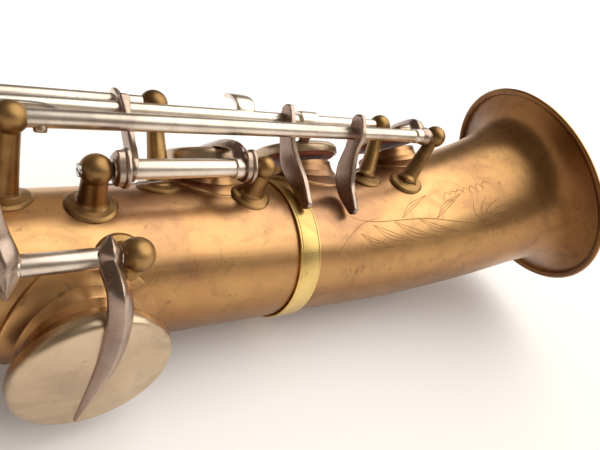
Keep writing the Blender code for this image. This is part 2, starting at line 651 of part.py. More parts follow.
def furniture():
    hook = -205.0
    out, along = spoke(BACK), Vector((1, 0, 0))
    base = frame_on(hook, BACK)
    plate = block(base @ Matrix.Translation((0, 0, 0.4)), (17, 9, 3.4))
    high = [point_on(hook - 7, BACK, 0.8), point_on(hook - 7.5, BACK, 6.0), point_on(hook - 4.5, BACK, 9.2),
            point_on(hook + 1.5, BACK, 10.2), point_on(hook + 8.5, BACK, 9.4)]
    outs = [along * -1, along * -1 + out * 0.3, out - along * 0.7, out, out]
    finished("thumb_hook", "body_brass", *saddled(hook, [plate, bar(high, (8, 8, 8, 8, 7), 2.0, outs)]))
    rest = -322.0
    button = turned([(0, 3.4), (4.6, 3.2), (5.8, 2.2), (6.0, -2.2), (0, -2.2)], frame_on(rest, BACK))
    finished("thumb_rest", "key_nickel", *saddled(rest, [button]))
    strap = -262.0
    eye = turned([(5.6, 0.9), (6.5, 0.0), (5.6, -0.9), (4.7, 0.0)],
                 facing(point_on(strap, BACK, 6.6), frame_on(strap, BACK).to_3x3().col[1]), 20)
    stem = turned([(0, 1.8), (1.8, 1.6), (2.4, 0.9), (4.6, 0.8), (4.6, -1.6), (0, -1.6)], frame_on(strap, BACK), 16)
    finished("strap_ring", "body_brass", *saddled(strap, [eye, stem]))


CORK_START, CORK_END, CORK_R = -498.0, -470.0, 7.3
PIECE_TIP, PIECE_SHANK, PIECE_R, TABLE = -548.0, -477.0, 10.8, 8.6
REED_HEEL, REED_TIP, REED_WIDE, REED_THICK = -488.5, -546.0, 11.4, 2.7
BAND_START, BAND_END, BAND_R, BAND_THICK, BAND_DROP = -516.0, -498.0, 12.5, 0.5, 1.1
PIECE_UP = spoke(FRONT)
PIECE_SIDE = PIECE_UP.cross(Vector((1, 0, 0)))


def on_piece(x, side, up):
    """A point given along the mouthpiece, across it and towards its beak side, in mm."""
    return Vector((x, 0, 0)) + PIECE_SIDE * side + PIECE_UP * up


def piece_matrix(x, side, up, pitch=0.0):
    """Axes along the mouthpiece, across it and up; pitch turns it about the one across."""
    matrix = Matrix((Vector((1, 0, 0)), PIECE_SIDE, PIECE_UP)).transposed().to_4x4()
    matrix.translation = on_piece(x, side, up)
    return matrix @ Matrix.Rotation(math.radians(pitch), 4, "Y")


def mouthpiece():
    along = facing((0, 0, 0), (1, 0, 0))
    shell = turned([(0, PIECE_SHANK), (PIECE_R + 0.2, PIECE_SHANK), (PIECE_R + 1.0, PIECE_SHANK - 0.8),
                    (PIECE_R + 1.0, PIECE_SHANK - 4.0), (PIECE_R, PIECE_SHANK - 5.0), (PIECE_R, -505),
                    (PIECE_R - 0.8, -524), (8.2, PIECE_TIP), (0, PIECE_TIP)], along, MEDIUM)
    socket = rod((PIECE_SHANK + 1, 0, 0), (-509, 0, 0), CORK_R + GAP, MEDIUM)
    chamber = rod((-508, 0, 0), (-530, 0, 0), 5.0, 16)
    flat = block(piece_matrix(-521, 0, -TABLE - 5), (70, 30, 10))
    beak = block(piece_matrix(-545, 0, 8.6, -25.5), (60, 30, 14))
    window = block(piece_matrix(-532, 0, -6.0), (21, 7.6, 7.0))
    finished("mouthpiece", "ebonite", [shell], [socket, chamber, flat, beak, window])


def reed():
    stations = ((REED_HEEL, REED_THICK), (-512, REED_THICK), (-516, 2.1), (-532, 0.9), (REED_TIP, 0.35))
    rings = []
    for x, thick in stations:
        top = -TABLE - GAP
        rings.append([on_piece(x, REED_WIDE / 2, top), on_piece(x, -REED_WIDE / 2, top),
                      on_piece(x, -REED_WIDE / 2, top - thick * 0.55), on_piece(x, -REED_WIDE / 4, top - thick),
                      on_piece(x, REED_WIDE / 4, top - thick), on_piece(x, REED_WIDE / 2, top - thick * 0.55)])
    finished("reed", "cane", [loft(rings)])


def ligature():
    place = facing(on_piece(0, 0, -BAND_DROP), (1, 0, 0))
    band = turned([(BAND_R, BAND_END), (BAND_R + BAND_THICK, BAND_END), (BAND_R + BAND_THICK, BAND_START),
                   (BAND_R, BAND_START)], place, 24)
    low = -BAND_DROP - BAND_R
    screws = ((BAND_END - 5.0, "ligature_screw_front"), (BAND_START + 5.0, "ligature_screw_back"))
    lugs, holes = [], []
    for x, name in screws:
        lugs += [rod(on_piece(x, side * 2.2, low - 1.9), on_piece(x, side * 5.4, low - 1.9), 1.9) for side in (-1, 1)]
        lugs += [block(piece_matrix(x, side * 3.8, low - 0.4), (3.0, 3.0, 2.0)) for side in (-1, 1)]
        holes.append(rod(on_piece(x, -7, low - 1.9), on_piece(x, 7, low - 1.9), 1.1))
        place_screw = facing(on_piece(x, 0, low - 1.9), PIECE_SIDE)
        finished(name, "key_nickel", [turned(
            [(0, 12.6), (2.6, 12.4), (3.3, 11.2), (3.3, 8.4), (2.4, 7.4), (1.4, 6.8), (1.4, 5.8), (0.78, 5.8),
             (0.78, -5.6), (0, -5.6)], place_screw, 12)])
    inside = rod(on_piece(BAND_START - 1, 0, -BAND_DROP), on_piece(BAND_END + 1, 0, -BAND_DROP), BAND_R, 24)
    finished("ligature", "key_nickel", [band] + lugs, [inside] + holes)


def cork():
    along = facing((0, 0, 0), (1, 0, 0))
    finished("cork", "cork", [turned([(outer_radius(CORK_END) + GAP, CORK_END), (CORK_R - 0.5, CORK_END),
                                      (CORK_R, CORK_END - 1.5), (CORK_R, CORK_START + 1.0),
                                      (CORK_R - 0.4, CORK_START), (outer_radius(CORK_START) + GAP, CORK_START)],
                                     along, MEDIUM)])


# ---- the whole instrument
def build():
    body_tube()
    bell()
    bell_ring()
    low_keys()
    pinky_keys()
    stack(RIGHT_STACK, ("d", "e", "f", "fs"), ("d", "e", "f"))
    stack(LEFT_STACK, ("g", "a", "b", "c"), ("g", "a", "b"))
    side_keys()
    octave_keys()
    hinge_rods()
    for hole in HOLES:
        pad(hole)
    furniture()
    mouthpiece()
    reed()
    ligature()
    cork()
    datum = bpy.data.objects.new("bore_datum", None)
    PARTS.objects.link(datum)
    for obj in PARTS.objects:
        if obj is not datum:
            obj.parent = datum
    datum.location = Vector(DATUM) * MM


build()
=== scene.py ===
"""Looks for the soprano saxophone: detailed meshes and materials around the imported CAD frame.

Bore frame, in mm: s or x runs along the bore towards the bell, 0 at the body end of the bell ring. phi turns
about it: 0 points to -Y, 90 straight up. The instrument's front is FRONT, its back BACK.
"""

import math

import bmesh
import bpy
from mathutils import Matrix, Vector


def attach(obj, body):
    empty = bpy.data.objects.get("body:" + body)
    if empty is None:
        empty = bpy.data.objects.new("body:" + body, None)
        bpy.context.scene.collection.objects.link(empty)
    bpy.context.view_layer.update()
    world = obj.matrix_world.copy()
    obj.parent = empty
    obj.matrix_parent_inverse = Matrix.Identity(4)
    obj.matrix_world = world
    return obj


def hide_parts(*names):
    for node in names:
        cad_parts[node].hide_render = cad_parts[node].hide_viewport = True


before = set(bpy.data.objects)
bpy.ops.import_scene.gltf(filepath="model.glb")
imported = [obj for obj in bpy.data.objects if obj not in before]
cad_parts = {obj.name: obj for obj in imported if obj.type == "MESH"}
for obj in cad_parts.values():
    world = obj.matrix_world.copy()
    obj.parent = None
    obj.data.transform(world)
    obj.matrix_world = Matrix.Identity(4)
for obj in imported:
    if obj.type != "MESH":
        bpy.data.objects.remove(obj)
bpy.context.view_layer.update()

# ---- the instrument's own dimensions, as in the CAD, in mm and degrees
MM = 0.001
GAP = 0.3
DATUM = Vector((202.873, 7.566, 25.403))
FRONT, BACK = 73.0, 253.0
BODY_START, BODY_END = -500.0, 3.2
BODY_R0, BODY_TAPER = 20.9, 0.031
WALL = 0.8
BEND_START, BEND_LENGTH, BEND_ANGLE, BEND_PHI = 21.0, 104.5, 33.2, 71.5
MOST_BEND = 1.3  # as a share: the curve is worked out a little past the rim
RIM = BEND_START + BEND_LENGTH
RIM_R = 41.9
FLARE = ((3.4, 1.0), (13.7, 22.0))
CHIMNEY, CHIMNEY_WALL = 4.0, 1.0
PAD_THICK, CUP_TALL, CUP_SKIRT, CUP_WALL = 3.2, 4.6, 1.0, 0.8
ROD_R, TUBE_BORE = 0.85, 0.95
BALL_R, BALL_ROOM, TUBE_GAP = 3.62, 3.6, 0.35  # a full-size post's ball, and where a tube ends beside it
LONG_LEFT = -222.0
X_AXIS = Vector((1, 0, 0))

# Tone holes: place along the bore, angle, hole radius, cup radius, how far its key stands open at rest.
HOLES = {
    "low_bb": (66.0, 138.0, 10.0, 14.5, 2.7),
    "low_b": (22.0, 138.0, 10.0, 14.5, 2.7),
    "low_cs": (-17.0, 124.0, 8.0, 11.8, 0.0),
    "low_c": (-54.9, -9.0, 11.0, 16.1, 2.7),
    "low_eb": (-91.0, 86.0, 8.0, 11.6, 0.0),
    "d": (-124.0, FRONT, 8.2, 12.0, 2.4),
    "e": (-156.0, FRONT, 7.8, 11.6, 2.4),
    "f": (-186.0, FRONT, 7.2, 10.9, 2.3),
    "fs": (-213.0, FRONT, 6.6, 10.0, 2.2),
    "gs": (-243.0, 92.0, 5.0, 8.0, 0.0),
    "g": (-269.0, FRONT, 6.0, 9.4, 2.0),
    "a": (-309.0, FRONT, 5.2, 8.4, 1.8),
    "b": (-331.0, FRONT, 4.4, 7.5, 1.7),
    "c": (-350.0, FRONT, 3.8, 6.8, 1.6),
    "side_bb": (-283.0, 2.0, 4.2, 7.2, 0.0),
    "side_c": (-320.0, 2.0, 3.8, 6.8, 0.0),
    "palm_d": (-371.0, 96.0, 3.4, 6.2, 0.0),
    "palm_eb": (-392.0, 96.0, 3.2, 6.0, 0.0),
}


# ---- the bore's centre line and surface
def bend_at(s):
    return min(max(s - BEND_START, 0.0) / BEND_LENGTH, MOST_BEND) * math.radians(BEND_ANGLE)


def cos_sin(degrees):
    return math.cos(math.radians(degrees)), math.sin(math.radians(degrees))


def spoke(phi):
    c, s = cos_sin(phi)
    return Vector((0.0, -c, s))


def centre(s):
    if s <= BEND_START:
        return Vector((s, 0.0, 0.0))
    sweep = BEND_LENGTH / math.radians(BEND_ANGLE)
    angle = bend_at(s)
    return Vector((BEND_START + sweep * math.sin(angle), 0, 0)) + spoke(BEND_PHI) * sweep * (1
        - math.cos(angle))


def outer_radius(s):
    reach = max(s - BEND_START, 0.0) / BEND_LENGTH
    return BODY_R0 + BODY_TAPER * s + sum(growth * reach**power for growth, power in FLARE)


def frame_on(s, phi, height=0.0):
    """Matrix in mm: origin over the surface at (s, phi), Z straight out, X along the bore to the bell."""
    turn = Matrix.Rotation(bend_at(s), 3, X_AXIS.cross(spoke(BEND_PHI)))
    out, along = turn @ spoke(phi), turn @ X_AXIS
    matrix = Matrix((along, out.cross(along), out)).transposed().to_4x4()
    matrix.translation = centre(s) + out * (outer_radius(s) + height)
    return matrix


def point_on(s, phi, height=0.0):
    return frame_on(s, phi, height).translation


def facing(origin, direction):
    """Matrix in mm with its Z along direction."""
    matrix = Vector(direction).to_track_quat("Z", "X").to_matrix().to_4x4()
    matrix.translation = origin
    return matrix


def polar(x, phi, radius):
    return Vector((x, 0.0, 0.0)) + spoke(phi) * radius


# ---- hinge lines
class HingeLine:
    """A straight hinge between two points given as (x, phi, radius from the bore's axis) in mm."""

    def __init__(self, left, right, posts, post_size=0.75, tube=1.9):
        self.left, self.right = polar(*left), polar(*right)
        self.direction = (self.right - self.left).normalized()
        self.posts, self.post_size, self.tube = posts, post_size, tube

    def at(self, x):
        return self.left + (self.right - self.left) * ((x - self.left.x) / (self.right.x - self.left.x))

    def clear_of(self, x, side):
        """Where a tube ends beside a post: side 1 on the post's right, -1 on its left."""
        return x + side * (BALL_ROOM * self.post_size + TUBE_GAP)


def beside(line, x, y_z, posts):
    """A line parallel to another, through its own point."""
    shift = Vector((0.0, *y_z)) - Vector((0.0, *line.at(x).yz))
    made = HingeLine((0, 0, 0), (1, 0, 0), posts, line.post_size, line.tube)
    made.left, made.right, made.direction = line.left + shift, line.right + shift, line.direction
    return made


LOW_BB = HingeLine((-66.0, 94.4, 36.9), (58.0, 90.0, 41.9), (58.0, -66.0, LONG_LEFT), 1.0, 1.95)
LOW_B = beside(LOW_BB, 43.7, (12.4, 38.6), (43.7, LONG_LEFT))
CS_LEVER = beside(LOW_BB, -32.0, (21.4, 34.3), (-32.0, LONG_LEFT))
LOW_CS = HingeLine((-52.1, 83.2, 29.4), (-10.2, 84.1, 30.5), (-52.1, -10.2), 1.0, 2.3)
LOW_C = HingeLine((-113.0, 43.8, 27.9), (-47.9, 43.8, 29.7), (-47.9, -113.0), 1.0, 2.1)
RIGHT_STACK = HingeLine((-226.0, 31.0, 22.9), (-119.5, 31.0, 26.2), (-119.5, -172.5, -226.0))
G_SHARP = HingeLine((-255.0, 124.0, 21.5), (-230.0, 124.0, 22.3), (-230.0, -255.0))
LEFT_STACK = HingeLine((-361.0, 31.0, 17.6), (-258.0, 31.0, 21.4), (-258.0, -288.0, -361.0))
SIDE_BB = HingeLine((-296.0, -25.0, 19.2), (-206.0, -25.0, 22.5), (-206.0, -296.0))
SIDE_C = HingeLine((-327.0, -46.0, 18.3), (-232.0, -46.0, 21.7), (-232.0, -327.0))
PALM = HingeLine((-403.0, 130.0, 15.4), (-358.0, 130.0, 16.8), (-358.0, -381.0, -403.0))
DRILLED = {"low_bb": LOW_BB, "low_b": LOW_B, "low_cs_lever": CS_LEVER, "low_cs": LOW_CS, "low_c": LOW_C,
    "right_stack": RIGHT_STACK, "left_stack": LEFT_STACK}
PIVOTED = (G_SHARP, SIDE_BB, SIDE_C, PALM)
STANDING_OPEN = {"low_bb": LOW_BB, "low_b": LOW_B, "low_c": LOW_C,
    **dict.fromkeys(("d", "e", "f", "fs"), RIGHT_STACK), **dict.fromkeys(("g", "a", "b", "c"), LEFT_STACK)}
OCTAVE_KEYS = {"octave_key_lower": (268.0, -366.0, -342.0, -392.0),
               "octave_key_upper": (228.0, -398.0, -350.0, -437.0)}  # phi, hinge, touch and vent along x


def cup_frame(hole):
    """Frame of a cup as its key rests: origin under the middle of the pad, Z out through its top."""
    seat = frame_on(*HOLES[hole][:2], CHIMNEY + GAP)
    if hole not in STANDING_OPEN:
        return seat
    line = STANDING_OPEN[hole]
    arm = seat.translation - line.at(seat.translation.x)
    lift = line.direction.cross(arm).dot(seat.to_3x3().col[2])
    hinge = Matrix.Translation(line.at(seat.translation.x))
    return hinge @ Matrix.Rotation(HOLES[hole][4] / lift, 4, line.direction) @ hinge.inverted() @ seat


# ---- surfaces
SHARP_EDGE, CORNER_STEPS = 38.0, 3


def placed(name, data):
    obj = bpy.data.objects.new(name, data)
    bpy.context.scene.collection.objects.link(obj)
    return obj


class Shape:
    """The surfaces of one piece, in mm. Each face keeps the number of its material."""

    def __init__(self):
        self.points, self.faces, self.slots = [], [], []

    def skin(self, rows, slot=0, round_=True, caps=True):
        """Faces through rows of points. A row of one point closes to a tip; caps close round end rows."""
        starts = []
        for row in rows:
            starts.append((len(self.points), len(row)))
            self.points += row
        for (first, size), (second, following) in zip(starts, starts[1:]):
            count = max(size, following)
            for i in range(count if round_ else count - 1):
                j = (i + 1) % count
                if size == 1:
                    face = (first, second + j, second + i)
                elif following == 1:
                    face = (first + i, first + j, second)
                else:
                    face = (first + i, first + j, second + j, second + i)
                self.faces.append(face)
                self.slots.append(slot)
        if caps and round_:
            for (first, size), turned in ((starts[0], True), (starts[-1], False)):
                if size > 2:
                    face = tuple(range(first, first + size))
                    self.faces.append(face[::-1] if turned else face)
                    self.slots.append(slot)

    def lathe(self, profile, place, sides=48, slot=0, soften=0.25):
        """A profile of (radius, height), turned about the place's Z, its corners softened."""
        rows = []
        for radius, height in softened(profile, soften):
            if radius < 1e-6:
                rows.append([place @ Vector((0, 0, height))])
            else:
                rows.append([place @ Vector((radius * c, radius * s, height)) for c, s in circle(sides)])
        self.skin(rows, slot)

    def tube(self, start, end, radius, sides=32, slot=0, soften=0.25):
        length = (end - start).length
        self.lathe([(0, 0), (radius, 0), (radius, length), (0, length)], facing(start, end - start), sides,
            slot, soften)

    def sweep(self, path, widths, thick, outs, slot=0, section=None, steps=7, tips=(True, True)):
        """A bar along a smooth path: widths and thicknesses at its points, thickness along outs."""
        thicks = thick if isinstance(thick, (list, tuple)) else [thick] * len(path)
        outs = outs if isinstance(outs, (list, tuple)) else [outs] * len(path)
        line = smooth([Vector(p) for p in path], steps)
        wide, deep, up = smooth(list(widths), steps), smooth(list(thicks),
            steps), smooth([Vector(o) for o in outs], steps)
        outline = section or ROUND_RECT
        frames = []
        for i, point in enumerate(line):
            along = (line[min(i + 1, len(line) - 1)] - line[max(i - 1, 0)]).normalized()
            side = along.cross(up[i]).normalized()
            frames.append((point, along, side, side.cross(along).normalized(), wide[i] / 2, deep[i] / 2))
        rings = []
        for end, turn in ((0, -1), (-1, 1)):
            point, along, side, rise, w, t = frames[end]
            ends = []
            if tips[0 if end == 0 else 1]:
                for angle in (80, 60, 40, 20):
                    c, s = cos_sin(angle)
                    ends.append((point + along * turn * w * s * 0.9, side, rise, w * c,
                        t * (0.45 + 0.55 * c)))
            rings.append(ends)
        middle = [(p, side, rise, w, t) for p, _, side, rise, w, t in frames]
        rows = [[p + side * w * x + rise * t * y for x, y in outline] for p, side, rise, w,
            t in rings[0] + middle + rings[1][::-1]]
        self.skin(rows, slot)

    def dress(self, name, body, materials, slot, replaces=()):
        """Makes the object, rides it on its body, and hides the CAD nodes it stands for."""
        mesh = bpy.data.meshes.new(name)
        mesh.from_pydata([(p + DATUM) * MM for p in self.points], [], self.faces)
        work = bmesh.new()
        work.from_mesh(mesh)
        for face, number in zip(work.faces, self.slots):
            face.material_index = number
        bmesh.ops.recalc_face_normals(work, faces=work.faces)
        work.to_mesh(mesh)
        work.free()
        for material in materials:
            mesh.materials.append(material)
        mesh.shade_smooth()
        mesh.set_sharp_from_angle(angle=math.radians(SHARP_EDGE))
        obj = placed(name, mesh)
        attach(obj, body)
        if replaces:
            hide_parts(*replaces)
        return obj


def circle(sides):
    return [(math.cos(2 * math.pi * i / sides), math.sin(2 * math.pi * i / sides)) for i in range(sides)]


def softened(profile, amount):
    """The profile with each of its corners replaced by a small curve."""
    if amount <= 0:
        return profile
    points = [Vector(p) for p in profile]
    made = [points[0]]
    for before, corner, after in zip(points, points[1:], points[2:]):
        a, b = before - corner, after - corner
        reach = min(amount, a.length * 0.45, b.length * 0.45)
        if a.length < 1e-6 or b.length < 1e-6 or a.angle(b) > math.radians(172):
            made.append(corner)
            continue
        first, last = corner + a.normalized() * reach, corner + b.normalized() * reach
        for i in range(CORNER_STEPS + 1):
            t = i / CORNER_STEPS
            made.append(first * (1 - t) ** 2 + corner * 2 * t * (1 - t) + last * t**2)
    made.append(points[-1])
    return [tuple(p) for p in made]


def smooth(values, steps):
    """Values along a smooth curve through the given ones."""
    if len(values) < 3:
        return [values[0] + (values[-1] - values[0]) * (i / steps) for i in range(steps + 1)]
    made = []
    for i in range(len(values) - 1):
        p0, p1 = values[max(i - 1, 0)], values[i]
        p2, p3 = values[i + 1], values[min(i + 2, len(values) - 1)]
        for k in range(steps):
            t = k / steps
            made.append(((p1 * 2) + (p2 - p0) * t + (p0 * 2 - p1 * 5 + p2 * 4 - p3) * t * t
                + (p1 * 3 - p0 - p2 * 3 + p3) * t**3) * 0.5)
    made.append(values[-1])
    return made


def outline_of(power, count=20):
    """A squarish round: a section whose corners are softened by its power."""
    return [(math.copysign(abs(c) ** (2 / power), c), math.copysign(abs(s) ** (2 / power), s)) for c,
        s in circle(count)]


ROUND_RECT = outline_of(5.0)
OVAL = outline_of(2.4)
RIDGED = [(1.0, -0.7), (1.0, -0.35), (0.93, -0.12), (0.55, 0.4), (0.14, 0.93), (0.0, 1.0), (-0.14, 0.93),
    (-0.55, 0.4), (-0.93, -0.12), (-1.0, -0.35), (-1.0, -0.7), (-0.7, -1.0), (0.0, -1.0), (0.7, -1.0)]


def surface_drop(s, across):
    """Height of the tube's surface beside its crown, this far across it."""
    radius = outer_radius(s)
    return math.sqrt(max(radius**2 - across**2, 0.04 * radius**2)) - radius


def saddle(shape, s, phi, profile, sides=56, soften=0.2):
    """A turned form on the tube. Its profile is (radius, height, share); share follows the tube's curve."""
    place = frame_on(s, phi)
    flat = softened([(r, h) for r, h, _ in profile], soften)
    full = [(r, h) for r, h, _ in profile]
    rows = []
    for radius, height in flat:
        near = min(range(len(full)), key=lambda i: (full[i][0] - radius) ** 2 + (full[i][1] - height) ** 2)
        share = profile[near][2]
        if radius < 1e-6:
            rows.append([place @ Vector((0, 0, height))])
            continue
        rows.append([place @ Vector((radius * c, radius * d, height + share * surface_drop(s, radius * d)))
            for c, d in circle(sides)])
    shape.skin(rows)


# ---- materials
def nodes_of(name):
    material = bpy.data.materials.new(name)
    material.use_nodes = True
    tree = material.node_tree
    return material, tree, tree.nodes["Principled BSDF"]


def add(tree, kind, **values):
    node = tree.nodes.new(kind)
    for key, value in values.items():
        node.inputs[key].default_value = value
    return node


def ramp(tree, source, stops):
    """A colour ramp fed by a socket; stops are (place, colour or grey)."""
    node = tree.nodes.new("ShaderNodeValToRGB")
    elements = node.color_ramp.elements
    while len(elements) < len(stops):
        elements.new(0.5)
    for element, (place, colour) in zip(elements, stops):
        element.position = place
        element.color = (colour, colour, colour, 1) if isinstance(colour, float) else (*colour, 1)
    tree.links.new(source, node.inputs["Fac"])
    return node.outputs["Color"]


def noise_at(tree, scale, detail=3.0, stretch=(1, 1, 1), distortion=0.0):
    """Noise over the object's own space, scale in features per metre."""
    coords = tree.nodes.new("ShaderNodeTexCoord")
    mapping = tree.nodes.new("ShaderNodeMapping")
    mapping.inputs["Scale"].default_value = stretch
    tree.links.new(coords.outputs["Object"], mapping.inputs["Vector"])
    node = add(tree, "ShaderNodeTexNoise", Scale=scale, Detail=detail, Roughness=0.6, Distortion=distortion)
    tree.links.new(mapping.outputs["Vector"], node.inputs["Vector"])
    return node.outputs["Fac"]


def mixed(tree, first, second, factor, mode="MIX"):
    node = tree.nodes.new("ShaderNodeMix")
    node.data_type, node.blend_type = "RGBA", mode
    for socket, value in ((node.inputs["A"], first), (node.inputs["B"], second),
            (node.inputs["Factor"], factor)):
        if isinstance(value, bpy.types.NodeSocket):
            tree.links.new(value, socket)
        elif isinstance(value, float):
            socket.default_value = value
        else:
            socket.default_value = (*value, 1)
    return node.outputs["Result"]


def relief(tree, shader, source, strength, distance=0.0002):
    bump = add(tree, "ShaderNodeBump", Strength=strength, Distance=distance)
    tree.links.new(source, bump.inputs["Height"])
    tree.links.new(bump.outputs["Normal"], shader.inputs["Normal"])


def worn_metal(name, clean, mellow, tarnish, rough, cloud=30.0, spots=0.35):
    """Bare metal: clouded colour, darker tarnish and spots, fine scratches along the bore."""
    material, tree, shader = nodes_of(name)
    shader.inputs["Metallic"].default_value = 1.0
    broad = noise_at(tree, cloud, 4.0, (0.7, 1, 1), 0.6)
    colour = ramp(tree, broad, ((0.32, clean), (0.52, mellow), (0.74, tarnish)))
    speck = ramp(tree, noise_at(tree, 340.0, 2.0), ((0.66, 0.0), (0.74, 1.0)))
    blotch = ramp(tree, noise_at(tree, 110.0, 5.0, distortion=1.2), ((0.5, 0.0), (0.72, spots)))
    dark = tuple(0.45 * c for c in tarnish)
    colour = mixed(tree, colour, dark, blotch)
    colour = mixed(tree, colour, tuple(0.6 * c for c in dark), mixed(tree, (0, 0, 0), speck, spots))
    tree.links.new(colour, shader.inputs["Base Color"])
    scratch = noise_at(tree, 900.0, 2.0, (0.04, 1, 1))
    smear = noise_at(tree, 70.0, 5.0)
    level = mixed(tree, smear, scratch, 0.35)
    tree.links.new(ramp(tree, level, ((0.3, rough[0]), (0.7, rough[1]))), shader.inputs["Roughness"])
    relief(tree, shader, mixed(tree, scratch, noise_at(tree, 500.0, 3.0), 0.5), 0.12)
    return material


COPPER = worn_metal("worn_copper_brass", (0.82, 0.50, 0.21), (0.68, 0.39, 0.17), (0.40, 0.22, 0.14),
    (0.27, 0.40))
RING_BRASS = worn_metal("yellow_brass", (0.88, 0.67, 0.27), (0.76, 0.54, 0.20), (0.50, 0.34, 0.13),
    (0.24, 0.36))
BRONZE = worn_metal("post_bronze", (0.50, 0.31, 0.12), (0.39, 0.23, 0.09), (0.20, 0.115, 0.05),
    (0.34, 0.48), 90.0)
NICKEL = worn_metal("nickel_silver", (0.88, 0.82, 0.73), (0.80, 0.71, 0.60), (0.52, 0.43, 0.38),
    (0.25, 0.38), 60.0, 0.3)
# Nickel for the key arms, stop arms and flanges. It has spots and tarnish noise like the rods' nickel, and a
# darker base colour that is painted shade for arm faces turned away from the light.
SHADED_ARM_NICKEL = worn_metal("arm_nickel_painted_shade", (0.60, 0.49, 0.40), (0.50, 0.39, 0.31), (0.32, 0.24, 0.22),
    (0.22, 0.36), 70.0, 0.3)
CUP_METAL = worn_metal("tarnished_nickel", (0.62, 0.49, 0.34), (0.54, 0.41, 0.28), (0.34, 0.25, 0.19),
    (0.26, 0.40), 35.0, 0.3)
STEEL = worn_metal("dull_steel", (0.55, 0.54, 0.52), (0.45, 0.44, 0.43), (0.28, 0.24, 0.22), (0.22, 0.36),
    200.0)


def painted_side_shade(material, left, low):
    """Painted shade: a darker base colour on faces turned to the left and on those turned low, set by which
    way each face points in the world, each (start, end, darkest tint).
    """
    tree = material.node_tree
    shader = next(node for node in tree.nodes if node.type == "BSDF_PRINCIPLED")
    colour = shader.inputs["Base Color"].links[0].from_socket
    split = tree.nodes.new("ShaderNodeSeparateXYZ")
    tree.links.new(tree.nodes.new("ShaderNodeNewGeometry").outputs["Normal"], split.inputs[0])
    for axis, (start, end, tint) in (("X", left), ("Z", low)):
        span = add(tree, "ShaderNodeMapRange", **{"From Min": start, "From Max": end})
        tree.links.new(split.outputs[axis], span.inputs["Value"])
        shade = ramp(tree, span.outputs[0], ((0.0, (1.0, 1.0, 1.0)), (1.0, tint)))
        colour = mixed(tree, colour, shade, 1.0, "MULTIPLY")
    tree.links.new(colour, shader.inputs["Base Color"])


# Painted shade on the left-facing and low-facing sides of the body, the key arms and the posts.
painted_side_shade(COPPER, (-0.30, -0.72, (0.50, 0.44, 0.38)), (0.66, -0.10, (0.48, 0.42, 0.38)))
painted_side_shade(SHADED_ARM_NICKEL, (-0.10, -0.65, (0.66, 0.60, 0.60)), (0.2, -0.6, (0.72, 0.68, 0.66)))
painted_side_shade(BRONZE, (-0.35, -0.9, (0.55, 0.50, 0.50)), (0.3, -0.6, (0.55, 0.50, 0.48)))


def grained(name, tint, stops, rough, bump=None, **settings):
    """A material coloured through a noise. tint says what noise_at takes, as do the first values of rough and
    of bump; rough goes on with its least and most, bump with its strength and depth."""
    material, tree, shader = nodes_of(name)
    tree.links.new(ramp(tree, noise_at(tree, *tint), stops), shader.inputs["Base Color"])
    if isinstance(rough, float):
        shader.inputs["Roughness"].default_value = rough
    else:
        grain, least, most = rough
        levels = ramp(tree, noise_at(tree, *grain), ((0.3, least), (0.7, most)))
        tree.links.new(levels, shader.inputs["Roughness"])
    if bump:
        relief(tree, shader, noise_at(tree, *bump[0]), *bump[1:])
    for socket, value in settings.items():
        shader.inputs[socket].default_value = value
    return material


SKIN, CORK_GRAIN, FIBRES, EVEN = (900.0, 4.0), (700.0, 5.0), (1500.0, 3.0, (0.03, 1, 1)), (1, 1, 1)
LEATHER = grained("pad_kid_leather", (160.0, 4.0),
    ((0.3, (0.16, 0.035, 0.022)), (0.6, (0.30, 0.07, 0.04)), (0.8, (0.40, 0.14, 0.08))), (SKIN, 0.5, 0.75),
    (SKIN, 0.4))
CORK = grained("neck_cork", CORK_GRAIN,
    ((0.4, (0.70, 0.50, 0.30)), (0.58, (0.52, 0.34, 0.19)), (0.68, (0.22, 0.12, 0.07))), 0.85,
    (CORK_GRAIN, 0.6, 0.0004))
EBONITE = grained("hard_rubber", (60.0, 4.0),
    ((0.35, (0.012, 0.012, 0.012)), (0.75, (0.045, 0.040, 0.032))), ((400.0, 3.0, (0.1, 1, 1)), 0.18, 0.34),
    ((600.0, 3.0, (0.08, 1, 1)), 0.08))
CANE = grained("reed_cane", FIBRES,
    ((0.3, (0.86, 0.74, 0.45)), (0.55, (0.78, 0.62, 0.34)), (0.75, (0.55, 0.40, 0.20))), 0.5, (FIBRES, 0.35))
PEARL = grained("touch_pearl", (180.0, 3.0, EVEN, 2.0),
    ((0.3, (0.84, 0.86, 0.84)), (0.5, (0.93, 0.90, 0.86)), (0.7, (0.80, 0.84, 0.88))), 0.22,
    **{"Coat Weight": 0.5})
CUT = grained("cut_line", (800.0, 2.0), ((0.35, (0.26, 0.13, 0.06)), (0.65, (0.46, 0.25, 0.11))), 0.5,
    Metallic=1.0)


# ---- body, bell and ring
def ring_at(s, radius, sides):
    place = frame_on(s, 0.0)
    place.translation = centre(s)
    return [place @ Vector((0, radius * d, radius * c)) for c, d in circle(sides)]


